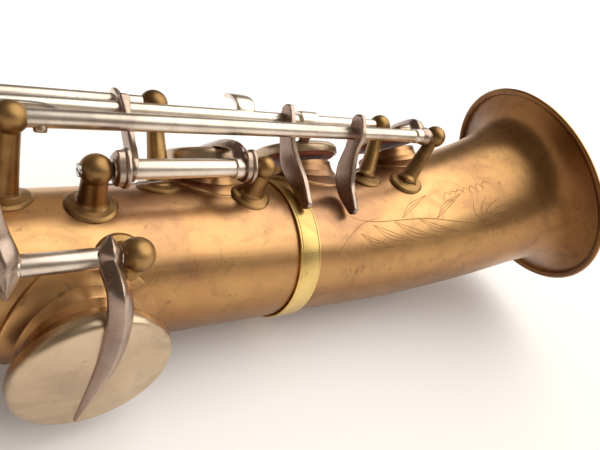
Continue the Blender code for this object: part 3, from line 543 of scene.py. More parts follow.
def tube_walls():
    stations = [BODY_START + (BODY_END - BODY_START) * i / 120 for i in range(121)]
    outside = [(s, outer_radius(s)) for s in stations]
    inside = [(s, outer_radius(s) - WALL) for s in reversed(stations)]
    shape = Shape()
    shape.skin([ring_at(s, r, 144) for s, r in outside + inside + outside[:1]], caps=False)
    shape.dress("body_wall", "horn", [COPPER], "body_brass", ["body_tube"])

    fine = [BODY_END + GAP + (RIM - 1.0 - BODY_END - GAP) * (1 - (1 - i / 90) ** 1.5) for i in range(91)]
    outside = [(s, outer_radius(s)) for s in fine]
    bead = [(RIM - 1.2 + 1.2 * c, RIM_R - 1.25 + 1.2 * d) for c, d in map(cos_sin, range(262, -56, -14))]
    lip = [(RIM - 0.75, RIM_R - 2.35), (RIM - 0.8, RIM_R - 2.55)]
    inside = [(s + 0.35, outer_radius(s) - WALL) for s in reversed(fine)]
    shape = Shape()
    shape.skin([ring_at(s, r, 180) for s, r in outside + bead + lip + inside + outside[:1]], caps=False)
    shape.dress("bell_wall", "horn", [COPPER], "body_brass", ["bell"])

    shape = Shape()
    band = [(0.35, 0.12), (0.0, 0.4), (0.0, 0.85), (0.45, 0.9), (0.5, 0.78), (0.75, 0.78), (0.8, 0.9),
        (6.1, 0.9), (6.15, 0.78), (6.35, 0.78), (6.4, 0.9), (7.0, 0.88), (7.1, 0.7), (7.1, 0.2), (6.9, 0.12)]
    band = softened(band, 0.15)
    shape.skin([ring_at(s, outer_radius(s) + h, 144) for s, h in band + band[:1]], caps=False)
    shape.dress("bell_ring_band", "horn", [RING_BRASS], "ring_brass", ["bell_ring"])


def chimneys(name, low, high):
    shape = Shape()
    for s, phi, hole, _, _ in HOLES.values():
        if not low < s <= high:
            continue
        out = hole + CHIMNEY_WALL
        saddle(shape, s, phi, [(hole, -0.35 * hole - 1.0, 0.3), (hole, CHIMNEY, 0), (out, CHIMNEY, 0),
            (out, 2.4, 0.15), (out + 0.35, 1.5, 0.45), (out + 1.2, 0.85, 0.8),
            (out + 0.3 * hole + 1.0, 0.5, 1), (out + 0.3 * hole + 1.3, 0.3, 1),
            (out + 0.3 * hole + 1.35, -0.5, 1)], 72)
    if low < -400:
        for phi, _, _, vent in OCTAVE_KEYS.values():
            saddle(shape, vent, phi, [(1.0, -1.2, 0), (1.0, 2.6, 0), (2.4, 2.6, 0), (2.4, 1.2, 0.3),
                (3.6, 0.5, 0.9), (4.0, 0.3, 1), (4.0, -0.4, 1)], 40)
    shape.dress(name, "horn", [COPPER], "body_brass")


FOOT_R, SHORT_POST, HALF_SLOT = 5.7, 12.5, 0.28


def foot_under(at):
    """Where the body's surface lies straight under a point, as (s, phi)."""
    s = at.x
    for _ in range(12):
        s += (at - centre(s)).dot(frame_on(s, 0.0).to_3x3().col[0])
    unturned = Matrix.Rotation(-bend_at(s), 3, X_AXIS.cross(spoke(BEND_PHI))) @ (at - centre(s))
    return s, math.degrees(math.atan2(unturned.z, -unturned.y))


def post(shape, ball, size, foot=None, ball_size=1.0):
    """A soldered post: a saddled flange, a tapering column and a ball head."""
    s, phi = foot or foot_under(ball)
    base = point_on(s, phi)
    height = (ball - base).length
    short = height < SHORT_POST * size
    flange, radius = FOOT_R * size, BALL_R * size * ball_size
    neck, waist = (2.75 * size, 3.0 * size) if short else (2.1 * size, 2.75 * size)
    saddle(shape, s, phi, [(0, 1.3, 0.2), (waist + 0.1, 1.25, 0.4), (waist + 0.6 * size, 0.95, 0.8),
        (waist + 1.2 * size, 0.85, 1), (flange - 0.75 * size, 0.8, 1), (flange - 0.6 * size, 0.78, 1),
        (flange - 0.05, 0.35, 1), (flange, 0.15, 1), (flange, -0.6, 1), (0, -0.6, 1)], soften=0.1)
    place = facing(base, ball - base)
    joint = math.asin(min(neck / radius, 1.0))
    arc = [math.radians(90 - 9 * i) for i in range(20)]
    head = [(0.0, height + radius)] + [(radius * math.cos(a), height + radius * math.sin(a))
        for a in arc[1:] if a > -(math.pi / 2 - joint)]
    low = height - radius * math.cos(joint)
    column = [(neck, low - 0.2)] + [(neck + (waist - neck) * t**1.2, low - 0.2 - (low - 2.2) * t)
        for t in (0.25, 0.5, 0.75, 1.0)]
    shape.lathe(head + column + [(waist + 0.35 * size, 1.3), (waist + 0.9 * size, 0.7), (waist, -0.4)],
        place, 48, 0, 0.3)


LEANING = {(LOW_BB, 58.0): (54.5, 83.5), (LOW_B, 43.7): (39.5, 99.0), (CS_LEVER, -32.0): (-33.0, 109.0),
    (LOW_BB, -66.0): (-67.6, 99.5), (LOW_CS, -52.1): (-51.5, 85.0), (LOW_CS, -10.2): (-10.4, 86.5)}
BALL_SIZE = {(LOW_BB, -66.0): 0.9, (LOW_CS, -52.1): 0.95, (LOW_CS, -10.2): 0.86}
SLOTTED_ENDS = ((LOW_CS, -52.1), (LOW_C, -113.0), (LOW_BB, LONG_LEFT), (LOW_B, LONG_LEFT),
    (CS_LEVER, LONG_LEFT))


def screw_head(shape, at, direction, radius):
    """A slotted steel screw head, its slot a dark channel between two lips."""
    place = facing(at, direction)
    shape.lathe([(0, 0.2), (radius * 0.99, 0.2), (radius, -1.4), (0, -1.4)], place, 32, 1, 0.15)
    for side in (-1, 1):
        rim = [(side * HALF_SLOT, -radius * 0.95)]
        for across, along in map(cos_sin, range(-75, 90, 15)):
            rim.append((side * (HALF_SLOT + (radius - HALF_SLOT) * across), radius * 0.95 * along))
        rim.append((side * HALF_SLOT, radius * 0.95))
        rows = [[place @ Vector((x, y, z)) for x, y in rim] for z in (0.15, 0.5)]
        shape.skin(rows, 1)


def posts():
    shapes = {"body_posts": Shape(), "bell_posts": Shape()}
    for line in list(DRILLED.values()) + list(PIVOTED):
        for x in line.posts:
            shape = shapes["bell_posts" if x > BODY_END else "body_posts"]
            size = BALL_SIZE.get((line, x), 1.0)
            at = line.at(x) - line.direction * (0.9 if (line, x) == (LOW_BB, -66.0) else 0.0)
            post(shape, at, line.post_size, LEANING.get((line, x)), size)
            if (line, x) in SLOTTED_ENDS or line in PIVOTED:
                turn = -1 if x == min(line.posts) else 1
                reach = (BALL_R * size - 0.3) * line.post_size
                screw_head(shape, line.at(x) + line.direction * turn * reach, line.direction * turn,
                    1.45 * line.post_size)
    for phi, hinge, _, _ in OCTAVE_KEYS.values():
        place = frame_on(hinge, phi)
        at, across = point_on(hinge, phi, 5.4), place.to_3x3().col[1]
        for side in (-1, 1):
            post(shapes["body_posts"], at + across * side * 4.3, 0.47)
            screw_head(shapes["body_posts"], at + across * side * 5.9, across * side, 0.9)
        shapes["body_posts"].tube(at - across * 4.3, at + across * 4.3, 0.7, 16, 1)
    for line in PIVOTED:
        for x in line.posts:
            shapes["body_posts"].tube(line.at(x - 4.0), line.at(x + 4.0), ROD_R, 16, 1)
    for name, shape in shapes.items():
        shape.dress(name, "horn", [BRONZE, STEEL], "body_brass")


def rods():
    for name, line in DRILLED.items():
        reach = 3.0 * line.post_size
        shape = Shape()
        shape.tube(line.at(min(line.posts) - reach), line.at(max(line.posts) + reach), ROD_R, 24, 0, 0.1)
        shape.dress(f"{name}_steel_rod", "horn", [STEEL], "rod_steel", [f"{name}_rod"])


def spring(shape, line, x, length, side):
    """A needle spring from a post towards its key."""
    start = line.at(x)
    down = Vector((0, *(-line.at(x).yz.normalized() * 3.9)))
    path = [start + down, start + down * 1.02 + Vector((side * length * 0.5, 0, 0)),
        start + down * 0.75 + Vector((side * length, 0, 0))]
    shape.sweep(path, (0.6, 0.5, 0.35), (0.6, 0.5, 0.35), spoke(0.0), 0, OVAL, 8)


# ---- keys
UNDER_BALL, BESIDE_POST = 0.75, 6.0
ARM_REACH = -0.35  # past the middle of the cup, as a share of its radius


def cup(shape, hole):
    radius, roof = HOLES[hole][3], PAD_THICK + GAP
    shape.lathe([(0, CUP_TALL), (radius - 1.5, CUP_TALL), (radius - 0.45, CUP_TALL - 0.55),
        (radius, CUP_TALL - 1.5), (radius, CUP_SKIRT), (radius - CUP_WALL, CUP_SKIRT),
        (radius - CUP_WALL, roof), (0, roof)], cup_frame(hole), 96 if hole == "low_c" else 72, 3, 0.5)


def pads():
    for hole in HOLES:
        radius, hole_r = HOLES[hole][3] - CUP_WALL - GAP, HOLES[hole][2]
        shape = Shape()
        seat = hole_r + 0.5
        shape.lathe([(0, PAD_THICK), (radius, PAD_THICK), (radius + 0.05, 1.4), (radius - 0.45, 0.25),
            (radius - 1.0, 0.0), (seat + 0.6, 0.0), (seat, 0.14), (seat - 0.6, 0.0), (1.9, 0.0),
            (1.6, 0.18), (0, 0.2)], cup_frame(hole), 72, 0, 0.5)
        pad = shape.dress(f"{hole}_leather_pad", f"{hole}_key", [LEATHER], "pad_leather", [f"{hole}_pad"])


def hub(shape, line, x, length, radius):
    place = facing(line.at(x - length / 2), line.direction)
    shape.lathe([(0, 0), (radius, 0), (radius, length), (0, length)], place, 40, 0, 0.35)


def cup_arm(shape, line, x, hole, widths=(5.0, 4.4, 3.6, 1.4), thick=1.9):
    """An arm brazed to the tube, over the rim and along the top of a cup, tapering to a point."""
    place = cup_frame(hole)
    out = place.to_3x3().col[2]
    level = CUP_TALL + thick / 2 - 0.45
    start = line.at(x)
    local = place.inverted() @ start
    toward = Vector((local.x, local.y, 0.0)).normalized() * HOLES[hole][3]
    edge, tip = place @ (toward * 1.0 + Vector((0, 0, level))), place @ (toward * ARM_REACH
        + Vector((0, 0, level - 0.2)))
    corner = place @ (Vector((local.x, local.y, 0.0)) * 0.97
        + Vector((0, 0, max(level - 2.0, local.z + 1.0))))
    middle = place @ (toward * 0.35 + Vector((0, 0, level)))
    across = (tip - edge).cross(out)
    outs = [across.cross(corner - start).normalized(),
        (out - (edge - corner).normalized() * 0.2).normalized(), out, out, out]
    shape.sweep([start, corner, edge, middle, tip],
        (widths[0], widths[1], widths[2], widths[2] * 0.85, widths[3]),
        (thick, thick, thick, thick * 0.9, thick * 0.5), outs, 2, RIDGED, 8)
    hub(shape, line, x, widths[0] * 1.15, line.tube + 0.45)


def touch(shape, start, middle, ends, wide=8.0, arm=4.0, thick=1.7):
    first, last = polar(*ends[0]), polar(*ends[1])
    out = spoke((ends[0][1] + ends[1][1]) / 2)
    stations = (0.0, 0.15, 0.5, 0.85, 1.0)
    shares = (0.72, 1.0, 1.04, 1.0, 0.7)
    shape.sweep([first.lerp(last, part) for part in stations], [wide * share for share in shares],
        (thick, thick, thick, thick, thick * 0.8), out, 0, outline_of(3.4), 6)
    shape.sweep([start, Vector(middle), first.lerp(last, 0.35)], (arm, arm * 0.9, arm), thick - 0.25, out,
        0, None, 9)


def long_touch(shape, line, ends):
    hinge = line.at(LONG_LEFT)
    over = hinge + Vector((-2.0, *hinge.yz.normalized() * 5.6))
    touch(shape, line.at(LONG_LEFT + 9.0), over, ends)


def tubes(shape, line, *spans):
    """Hinge tubes. An end beside a post comes in under the curve of its ball."""
    for start, end in spans:
        start -= UNDER_BALL * any(abs(start - post_x) < BESIDE_POST for post_x in line.posts)
        end += UNDER_BALL * any(abs(end - post_x) < BESIDE_POST for post_x in line.posts)
        length = (line.at(end) - line.at(start)).length
        place = facing(line.at(start), line.direction)
        outer = line.tube
        shape.lathe([(TUBE_BORE, 0), (outer, 0), (outer, length), (TUBE_BORE, length), (TUBE_BORE, 0)],
            place, 48, 0, 0.18)


def between(shape, line, left, right):
    """A hinge tube that fills the line from one post to another."""
    tubes(shape, line, (line.clear_of(left, 1), line.clear_of(right, -1)))


def stop_arm(shape, x, path, widths):
    """The plate that curves from a long rod down to the body and limits how far its key opens."""
    shape.sweep([polar(x, phi, radius) for phi, radius in path], widths, 1.8, X_AXIS, 2, outline_of(7.0), 7)


def key(name, body, shape):
    shape.dress(name, body, [NICKEL, PEARL, SHADED_ARM_NICKEL, CUP_METAL], "key_nickel", [body])


def flange_disc(shape, line, low, high, radius):
    """A thick flange on a tube, round below and drawn up to a point, its right edge a standing rim."""
    place = facing(line.at(low), line.direction)
    crest = place.inverted().to_3x3() @ Vector((0, *line.at(low).yz.normalized()))
    turn, thick, rows = math.atan2(crest.y, crest.x), high - low, []
    for inset, height in ((2.0, 0.0), (0.9, 0.02), (0.55, 0.12), (0.5, 0.55), (0.12, 0.62), (0.0, 0.72),
            (0.0, 0.88), (0.15, 0.98), (0.8, 1.0), (1.0, 0.94), (2.0, 0.92)):
        row = []
        for i in range(72):
            angle = 2 * math.pi * i / 72
            reach = radius - inset + 1.1 * max(math.cos(angle - turn), 0) ** 10
            row.append(place @ Vector((reach * math.cos(angle), reach * math.sin(angle), height * thick)))
        rows.append(row)
    shape.skin(rows, 2)


def low_keys():
    bridge = spoke(180.0) * 4.8
    shape = Shape()
    end = LOW_BB.clear_of(58, -1)
    tubes(shape, LOW_BB, (LOW_BB.clear_of(-66, 1) - 1.6, end))
    between(shape, LOW_BB, LONG_LEFT, -66)
    cup(shape, "low_bb")
    cup_arm(shape, LOW_BB, 50.0, "low_bb")
    place = facing(LOW_BB.at(end - 5.6), LOW_BB.direction)
    shape.lathe([(1.9, 0), (2.5, 1.6), (2.9, 3.2), (2.95, 4.2), (2.5, 4.7), (2.5, 5.4), (TUBE_BORE, 5.4),
        (TUBE_BORE, 0)], place, 56, 2, 0.2)
    shape.lathe([(0, 2.9), (1.1, 2.8), (1.3, 2.4), (1.3, 1.0), (0, 1.0)],
        facing(LOW_BB.at(-61.9), spoke(-62.0)), 28, 3, 0.2)
    stop_arm(shape, 20.0, ((90.2, 44.4), (88.4, 41.0), (87.2, 36.5), (84.2, 29.8), (77.0, 25.8),
        (61.5, 24.5)), (4.6, 6.2, 5.0, 7.2, 6.6, 3.4))
    shape.sweep([LOW_BB.at(-57.5), LOW_BB.at(-60.5) + bridge, LOW_BB.at(-71.5) + bridge, LOW_BB.at(-74.5)],
        (2.0, 2.0, 2.0, 2.0), 1.4, spoke(180.0), 0, None, 7)
    long_touch(shape, LOW_BB, ((-246, 112, 33.5), (-262, 113, 33.0)))
    key("low_b_flat_key", "low_bb_key", shape)

    shape = Shape()
    between(shape, LOW_B, LONG_LEFT, 43.7)
    cup(shape, "low_b")
    cup_arm(shape, LOW_B, 13.0, "low_b")
    hub(shape, LOW_B, 12.2, 6.4, 2.9)
    stop_arm(shape, 3.6, ((106.8, 42.0), (106.2, 39.4), (103.6, 33.8), (97.6, 28.8), (83.0, 25.6),
        (68.0, 24.2)), (4.6, 6.2, 6.0, 7.4, 6.4, 3.4))
    long_touch(shape, LOW_B, ((-246, 131, 34.5), (-262, 132, 34.0)))
    hinge = LOW_B.at(-9.0)
    side = Vector((0, *hinge.yz.normalized()))
    shape.sweep([hinge - side * 0.5, hinge + side * 3.0 + spoke(180.0) * 0.5,
        hinge + side * 3.8 + spoke(180.0) * 3.5, hinge + side * 2.2 + spoke(180.0) * 8.5],
        (5.5, 6.0, 6.4, 5.0), 1.5, [spoke(20.0), spoke(70.0), spoke(100.0), spoke(125.0)], 0,
        outline_of(3.4), 7)
    key("low_b_natural_key", "low_b_key", shape)

    shape = Shape()
    between(shape, CS_LEVER, LONG_LEFT, -32)
    shape.sweep([CS_LEVER.at(-42), CS_LEVER.at(-42) + spoke(95.0) * 1.6, polar(-42, 114, 39.4)],
        (4.0, 3.6, 2.2), 1.6, X_AXIS, 0, outline_of(4.0), 7)
    long_touch(shape, CS_LEVER, ((-241, 149, 37.0), (-256, 150, 36.5)))
    key("low_c_sharp_lever", "low_cs_lever", shape)

    shape = Shape()
    between(shape, LOW_CS, -52.1, -10.2)
    cup(shape, "low_cs")
    cup_arm(shape, LOW_CS, -17.0, "low_cs", (4.6, 4.4, 5.2, 2.2), 2.4)
    flange_disc(shape, LOW_CS, -48.6, -45.9, 4.2)
    flange_disc(shape, LOW_CS, -17.4, -14.6, 4.2)
    shape.sweep([LOW_CS.at(-44.5), polar(-43.6, 91, 30.2), polar(-43.0, 99.5, 32.0),
        polar(-42.6, 107.5, 36.6), polar(-42.2, 111.5, 40.8)], (6.0, 5.0, 4.6, 4.2, 2.0),
        (1.7, 1.7, 1.7, 1.9, 2.6), X_AXIS, 2, None, 7)
    key("low_c_sharp_key", "low_cs_key", shape)


def pinky_keys():
    shape = Shape()
    flange = -73.8
    tubes(shape, LOW_C, (flange, LOW_C.clear_of(-47.9, -1)))
    cup(shape, "low_c")
    place = cup_frame("low_c")
    out = place.to_3x3().col[2]
    start = LOW_C.at(-53.6)
    local = place.inverted() @ start
    toward = Vector((local.x, local.y, 0.0)).normalized() * HOLES["low_c"][3]
    corner = place @ (Vector((local.x, local.y, 0.0)) * 0.98 + Vector((0, 0, max(3.4, local.z + 4.0))))
    blade = [start + spoke(97) * 4.6, start + spoke(62) * 3.0, start + spoke(12) * 3.0, corner,
        place @ (toward * 1.0 + Vector((0.8, 0, CUP_TALL + 1.2))),
        place @ (toward * 0.2 + Vector((1.0, 0, CUP_TALL + 0.7))),
        place @ (toward * -0.82 + Vector((-2.2, 0, CUP_TALL + 0.2)))]
    outs = []
    for before, after in zip(blade[:1] + blade, blade[1:] + blade[-1:]):
        rise = (after - before).cross(X_AXIS).normalized()
        outs.append(rise if rise.dot(out + spoke(43.8)) > 0 else -rise)
    shape.sweep(blade, (1.2, 4.4, 4.4, 4.5, 4.8, 4.4, 0.7), (1.6, 3.0, 3.2, 3.2, 3.4, 2.8, 0.8), outs, 2,
        RIDGED, 8)
    hub(shape, LOW_C, -53.6, 3.4, 2.3)
    root = LOW_C.at(-70.9)
    shape.sweep([root + spoke(98) * 12.0 - X_AXIS * 2.4, root + spoke(98) * 6.5 - X_AXIS * 1.2,
        root + spoke(60) * 2.6, root + spoke(0) * 2.4, root + spoke(-28) * 5.4], (4.2, 4.6, 5.4, 5.2, 1.2),
        (1.6, 2.0, 3.0, 3.0, 1.4), [spoke(8), spoke(8), spoke(20), spoke(50), spoke(60)], 2, RIDGED, 8)
    hub(shape, LOW_C, -70.9, 5.0, 2.5)
    touch(shape, LOW_C.at(-73.2), polar(-78.5, 28, 33.0), ((-112, 1, 32.5), (-129, 0, 31.5)), 7.6, 3.6)
    key("low_c_natural_key", "low_c_key", shape)

    shape = Shape()
    tubes(shape, LOW_C, (LOW_C.clear_of(-113, 1), flange - 0.5))
    cup(shape, "low_eb")
    cup_arm(shape, LOW_C, -91.0, "low_eb")
    hub(shape, LOW_C, -75.9, 1.5, 3.3)
    touch(shape, LOW_C.at(-104), polar(-106, 30, 31.0), ((-113, 19, 32.0), (-129, 17.5, 31.0)), 7.2)
    key("low_e_flat_key", "low_eb_key", shape)


def stack(line, holes, rounds):
    order = sorted(holes, key=lambda hole: HOLES[hole][0])
    middles = [HOLES[hole][0] for hole in order]
    bounds = [line.left.x] + [(low + high) / 2 for low, high in zip(middles, middles[1:])] + [line.right.x]
    for hole, x, low, high in zip(order, middles, bounds, bounds[1:]):
        low = max([low + GAP / 2] + [line.clear_of(post_x, 1) for post_x in line.posts if post_x < x])
        high = min([high - GAP / 2] + [line.clear_of(post_x, -1) for post_x in line.posts if post_x > x])
        shape = Shape()
        tubes(shape, line, (low, high))
        cup(shape, hole)
        cup_arm(shape, line, min(max(x, low + 2.8), high - 2.8), hole)
        if hole in rounds:
            place, radius = cup_frame(hole), min(HOLES[hole][3] * 0.55, 5.2)
            shape.lathe([(0, CUP_TALL - 0.3), (radius * 0.8, CUP_TALL - 0.3),
                (radius * 0.7, CUP_TALL + 0.9), (radius, CUP_TALL + 1.3), (radius, CUP_TALL + 2.1),
                (radius - 0.6, CUP_TALL + 2.15), (radius - 0.7, CUP_TALL + 1.7), (0, CUP_TALL + 1.7)],
                place, 56, 0, 0.2)
            shape.lathe([(0, CUP_TALL + 1.6), (radius - 0.75, CUP_TALL + 1.6),
                (radius - 0.75, CUP_TALL + 2.0), (radius * 0.5, CUP_TALL + 1.85), (0, CUP_TALL + 1.8)],
                place, 56, 1, 0.15)
        key(f"stack_{hole}_key", f"{hole}_key", shape)


def side_keys():
    shape = Shape()
    between(shape, G_SHARP, -255, -230)
    cup(shape, "gs")
    cup_arm(shape, G_SHARP, -243, "gs", (4.4, 4.0, 3.2, 1.4))
    touch(shape, G_SHARP.at(-248.5), polar(-248.5, 137, 24.6), ((-246, 149, 27.0), (-262, 150, 26.0)))
    key("g_sharp_key", "gs_key", shape)
    for name, hole, line, ends, x, at, middle, tips, wide in (("side_b_flat_key", "side_bb", SIDE_BB,
            (-296, -206), -283, -213, (-213, -38, 23.6), ((-210, -52, 23.5), (-226, -52, 23.0)), 7.6),
            ("side_c_natural_key", "side_c", SIDE_C, (-327, -232), -319, -240, (-240, -58, 22.4),
            ((-237, -70, 21.8), (-253, -70, 21.2)), 7.2)):
        shape = Shape()
        between(shape, line, *ends)
        cup(shape, hole)
        cup_arm(shape, line, x, hole, (4.0, 3.6, 3.0, 1.4))
        touch(shape, line.at(at), polar(*middle), tips, wide)
        key(name, f"{hole}_key", shape)
    for hole, low, high, reach in (("palm_d", -381, -358, -350.0), ("palm_eb", -403, -381, -372.0)):
        x = HOLES[hole][0]
        shape = Shape()
        between(shape, PALM, low, high)
        cup(shape, hole)
        cup_arm(shape, PALM, x, hole, (3.6, 3.4, 2.8, 1.2), 1.6)
        touch(shape, PALM.at(x + 5), polar(x + 5.5, 146, 18.6), ((x + 6, 161, 19.5), (reach, 162, 19.0)),
            7.0, 3.6)
        key(f"{hole}_lever", f"{hole}_key", shape)


def octave_keys():
    for name, (phi, hinge, finger, vent) in OCTAVE_KEYS.items():
        at, across = point_on(hinge, phi, 5.4), frame_on(hinge, phi).to_3x3().col[1]
        out, seat = spoke(phi), point_on(vent, phi, 2.9)
        shape = Shape()
        shape.sweep([point_on(finger + 9, phi, 6.4), point_on(finger, phi, 6.7),
            point_on(finger - 7, phi, 6.6), point_on(hinge + 8, phi, 5.6), at, point_on(vent + 9, phi, 5.6),
            point_on(vent - 2.0, phi, 5.2)], (6.6, 7.2, 6.6, 3.4, 3.4, 3.0, 4.2), 1.6, out, 0,
            outline_of(3.4), 7)
        shape.lathe([(0, 0), (1.75, 0), (1.75, 4.4), (0, 4.4)], facing(at - across * 2.2, across), 32, 0,
            0.3)
        shape.lathe([(0, 2.4), (2.0, 2.4), (2.3, 1.4), (2.3, 0.2), (1.9, 0), (0, 0)], facing(seat, out), 32,
            0, 0.2)
        key(f"{name}_lever", name, shape)


# ---- what the player holds, and the mouthpiece
def furniture():
    hook, out = -205.0, spoke(BACK)
    shape = Shape()
    saddle(shape, hook, BACK, [(0, 2.0, 0.6), (6.6, 1.9, 0.8), (7.6, 1.2, 1.0), (7.9, 0.35, 1),
        (0, 0.35, 1)])
    high = [point_on(hook - 6.5, BACK, 0.9), point_on(hook - 7.6, BACK, 5.4),
        point_on(hook - 4.6, BACK, 9.2), point_on(hook + 1.5, BACK, 10.2), point_on(hook + 8.5, BACK, 9.4)]
    shape.sweep(high, (8, 8, 8, 8, 7), 2.0, [-X_AXIS, -X_AXIS + out * 0.3, out - X_AXIS * 0.7, out, out], 0,
        outline_of(3.6), 8)
    shape.dress("thumb_hook_casting", "horn", [RING_BRASS], "body_brass", ["thumb_hook"])
    shape = Shape()
    saddle(shape, -322.0, BACK, [(0, 2.9, 0), (3.6, 3.2, 0), (4.6, 3.1, 0), (5.7, 2.2, 0), (5.9, 0.6, 0.4),
        (5.9, 0.35, 1), (0, 0.35, 1)], soften=0.4)
    shape.dress("thumb_rest_button", "horn", [NICKEL], "key_nickel", ["thumb_rest"])
    shape = Shape()
    place = facing(point_on(-262.0, BACK, 6.6), frame_on(-262.0, BACK).to_3x3().col[1])
    rows = [[place @ Vector(((5.6 + 0.9 * c) * cc, (5.6 + 0.9 * c) * ss, 0.9 * s)) for c, s in circle(20)]
        for cc, ss in circle(64)]
    shape.skin(rows + rows[:1], caps=False)
    saddle(shape, -262.0, BACK, [(0, 1.9, 0), (1.8, 1.6, 0), (2.4, 0.9, 0.5), (4.7, 0.7, 1), (4.9, 0.35, 1),
        (0, 0.35, 1)])
    shape.dress("strap_eye_ring", "horn", [RING_BRASS], "body_brass", ["strap_ring"])


CORK_START, CORK_END, CORK_R = -498.0, -470.0, 7.3
PIECE_TIP, PIECE_SHANK, PIECE_R, TABLE = -548.0, -477.0, 10.8, 8.6
REED_HEEL, REED_TIP, REED_WIDE, REED_THICK = -488.5, -546.0, 11.4, 2.7
BAND_START, BAND_END, BAND_R, BAND_DROP = -516.0, -498.0, 12.5, 1.1
KNURLS = 40
PIECE_UP = spoke(FRONT)
PIECE_SIDE = PIECE_UP.cross(X_AXIS)


def on_piece(x, side, up):
    return Vector((x, 0, 0)) + PIECE_SIDE * side + PIECE_UP * up


def mouthpiece():
    """A turned shank, cut flat below for the reed and sloped above into the beak."""
    shape = Shape()
    count = 120
    sizes = [(PIECE_SHANK, PIECE_R - 0.2), (PIECE_SHANK - 0.25, PIECE_R + 0.7),
        (PIECE_SHANK - 0.8, PIECE_R + 1.0), (PIECE_SHANK - 3.4, PIECE_R + 1.0),
        (PIECE_SHANK - 4.0, PIECE_R + 0.7), (PIECE_SHANK - 4.6, PIECE_R)]
    sizes += [(-482 - 2.0 * i, PIECE_R - 0.8 * max(i - 10, 0) / 11 - 1.6 * max(i - 21, 0) / 12)
        for i in range(1, 33)]
    sizes += [(PIECE_TIP + 0.8, 8.3), (PIECE_TIP + 0.2, 8.1), (PIECE_TIP, 7.7)]
    rows = []
    for x, radius in sizes:
        roof = 8.6 + (x + 545.0) * math.tan(math.radians(25.5)) - 7.0 / math.cos(math.radians(25.5))
        row = []
        for c, s in circle(count):
            up, side = radius * c, radius * s
            up = max(min(up, roof), -TABLE if x < -483.0 else up)
            row.append(on_piece(x, side, up))
        rows.append(row)
    bore = [(x, CORK_R + GAP) for x in (-480.0, -509.0)] + [(-509.2, 5.0), (-530.0, 5.0)]
    inner = [[on_piece(x, r * s, r * c) for c, s in circle(count)] for x,
        r in [(PIECE_SHANK, CORK_R + GAP + 0.5)] + bore]
    shape.skin(rows[::-1] + inner)
    shape.dress("mouthpiece_body", "mouthpiece", [EBONITE], "ebonite", ["mouthpiece"])

    shape = Shape()
    rows = []
    for x, thick in ((REED_HEEL, 2.5), (REED_HEEL - 0.3, REED_THICK), (-506, REED_THICK),
            (-514, REED_THICK), (-517, 2.2), (-522, 1.6), (-530, 1.0), (-538, 0.6), (REED_TIP, 0.35)):
        top, half = -TABLE - GAP, REED_WIDE / 2
        bark = [(half * c, -thick * (0.25 + 0.75 * s)) for c, s in map(cos_sin, range(0, 181, 12))]
        rows.append([on_piece(x, half, top), *[on_piece(x, side, top + drop) for side, drop in bark],
            on_piece(x, -half, top)])
    shape.skin(rows)
    shape.dress("reed_blade", "mouthpiece", [CANE], "cane", ["reed"])

    shape = Shape()
    place = facing(on_piece(0, 0, -BAND_DROP), X_AXIS)
    band = softened([(BAND_R, BAND_END), (BAND_R + 0.5, BAND_END), (BAND_R + 0.5, BAND_END - 1.2),
        (BAND_R + 0.3, BAND_END - 1.5), (BAND_R + 0.3, BAND_START + 1.5), (BAND_R + 0.5, BAND_START + 1.2),
        (BAND_R + 0.5, BAND_START), (BAND_R, BAND_START)], 0.15)
    shape.skin([[place @ Vector((r * c, r * s, z)) for c, s in circle(96)] for r, z in band + band[:1]],
        caps=False)
    low = -BAND_DROP - BAND_R
    for x, name in ((BAND_END - 5.0, "front"), (BAND_START + 5.0, "back")):
        for side in (-1, 1):
            shape.tube(on_piece(x, side * 2.2, low - 1.9), on_piece(x, side * 5.4, low - 1.9), 1.9, 32)
            shape.sweep([on_piece(x, side * 3.8, low + 0.6), on_piece(x, side * 3.8, low - 1.4)],
                (3.0, 3.0), 3.0, PIECE_SIDE, 0, outline_of(4.0), 2, (False, False))
        screw = Shape()
        head = facing(on_piece(x, 0, low - 1.9), PIECE_SIDE)
        screw.lathe([(0, 12.6), (2.4, 12.4), (2.6, 12.0), (2.6, 7.6), (1.5, 6.9), (1.5, 5.8), (0.78, 5.8),
            (0.78, -5.6), (0, -5.6)], head, 32, 0, 0.2)
        knurls = []
        for z, radius in ((8.2, 2.8), (8.5, 3.3), (11.3, 3.3), (11.6, 2.8)):
            ridges = [0.93 * radius, radius] * (KNURLS // 2)
            knurls.append([head @ Vector((c * reach, s * reach, z)) for (c, s),
                reach in zip(circle(KNURLS), ridges)])
        screw.skin(knurls)
        screw.dress(f"ligature_{name}_thumbscrew", f"ligature_screw_{name}", [NICKEL], "key_nickel",
            [f"ligature_screw_{name}"])
    shape.dress("ligature_band", "mouthpiece", [NICKEL], "key_nickel", ["ligature"])

    shape = Shape()
    wrap = [(outer_radius(CORK_END) + 0.05, CORK_END), (CORK_R - 0.4, CORK_END - 0.1),
        (CORK_R, CORK_END - 1.6), (CORK_R, CORK_START + 1.0), (CORK_R - 0.4, CORK_START),
        (outer_radius(CORK_START) + 0.05, CORK_START)]
    wrap = softened(wrap, 0.3)
    shape.skin([[Vector((x, r * c, r * s)) for c, s in circle(72)] for r, x in wrap + wrap[:1]], caps=False)
    shape.dress("neck_cork_sleeve", "horn", [CORK], "cork", ["cork"])


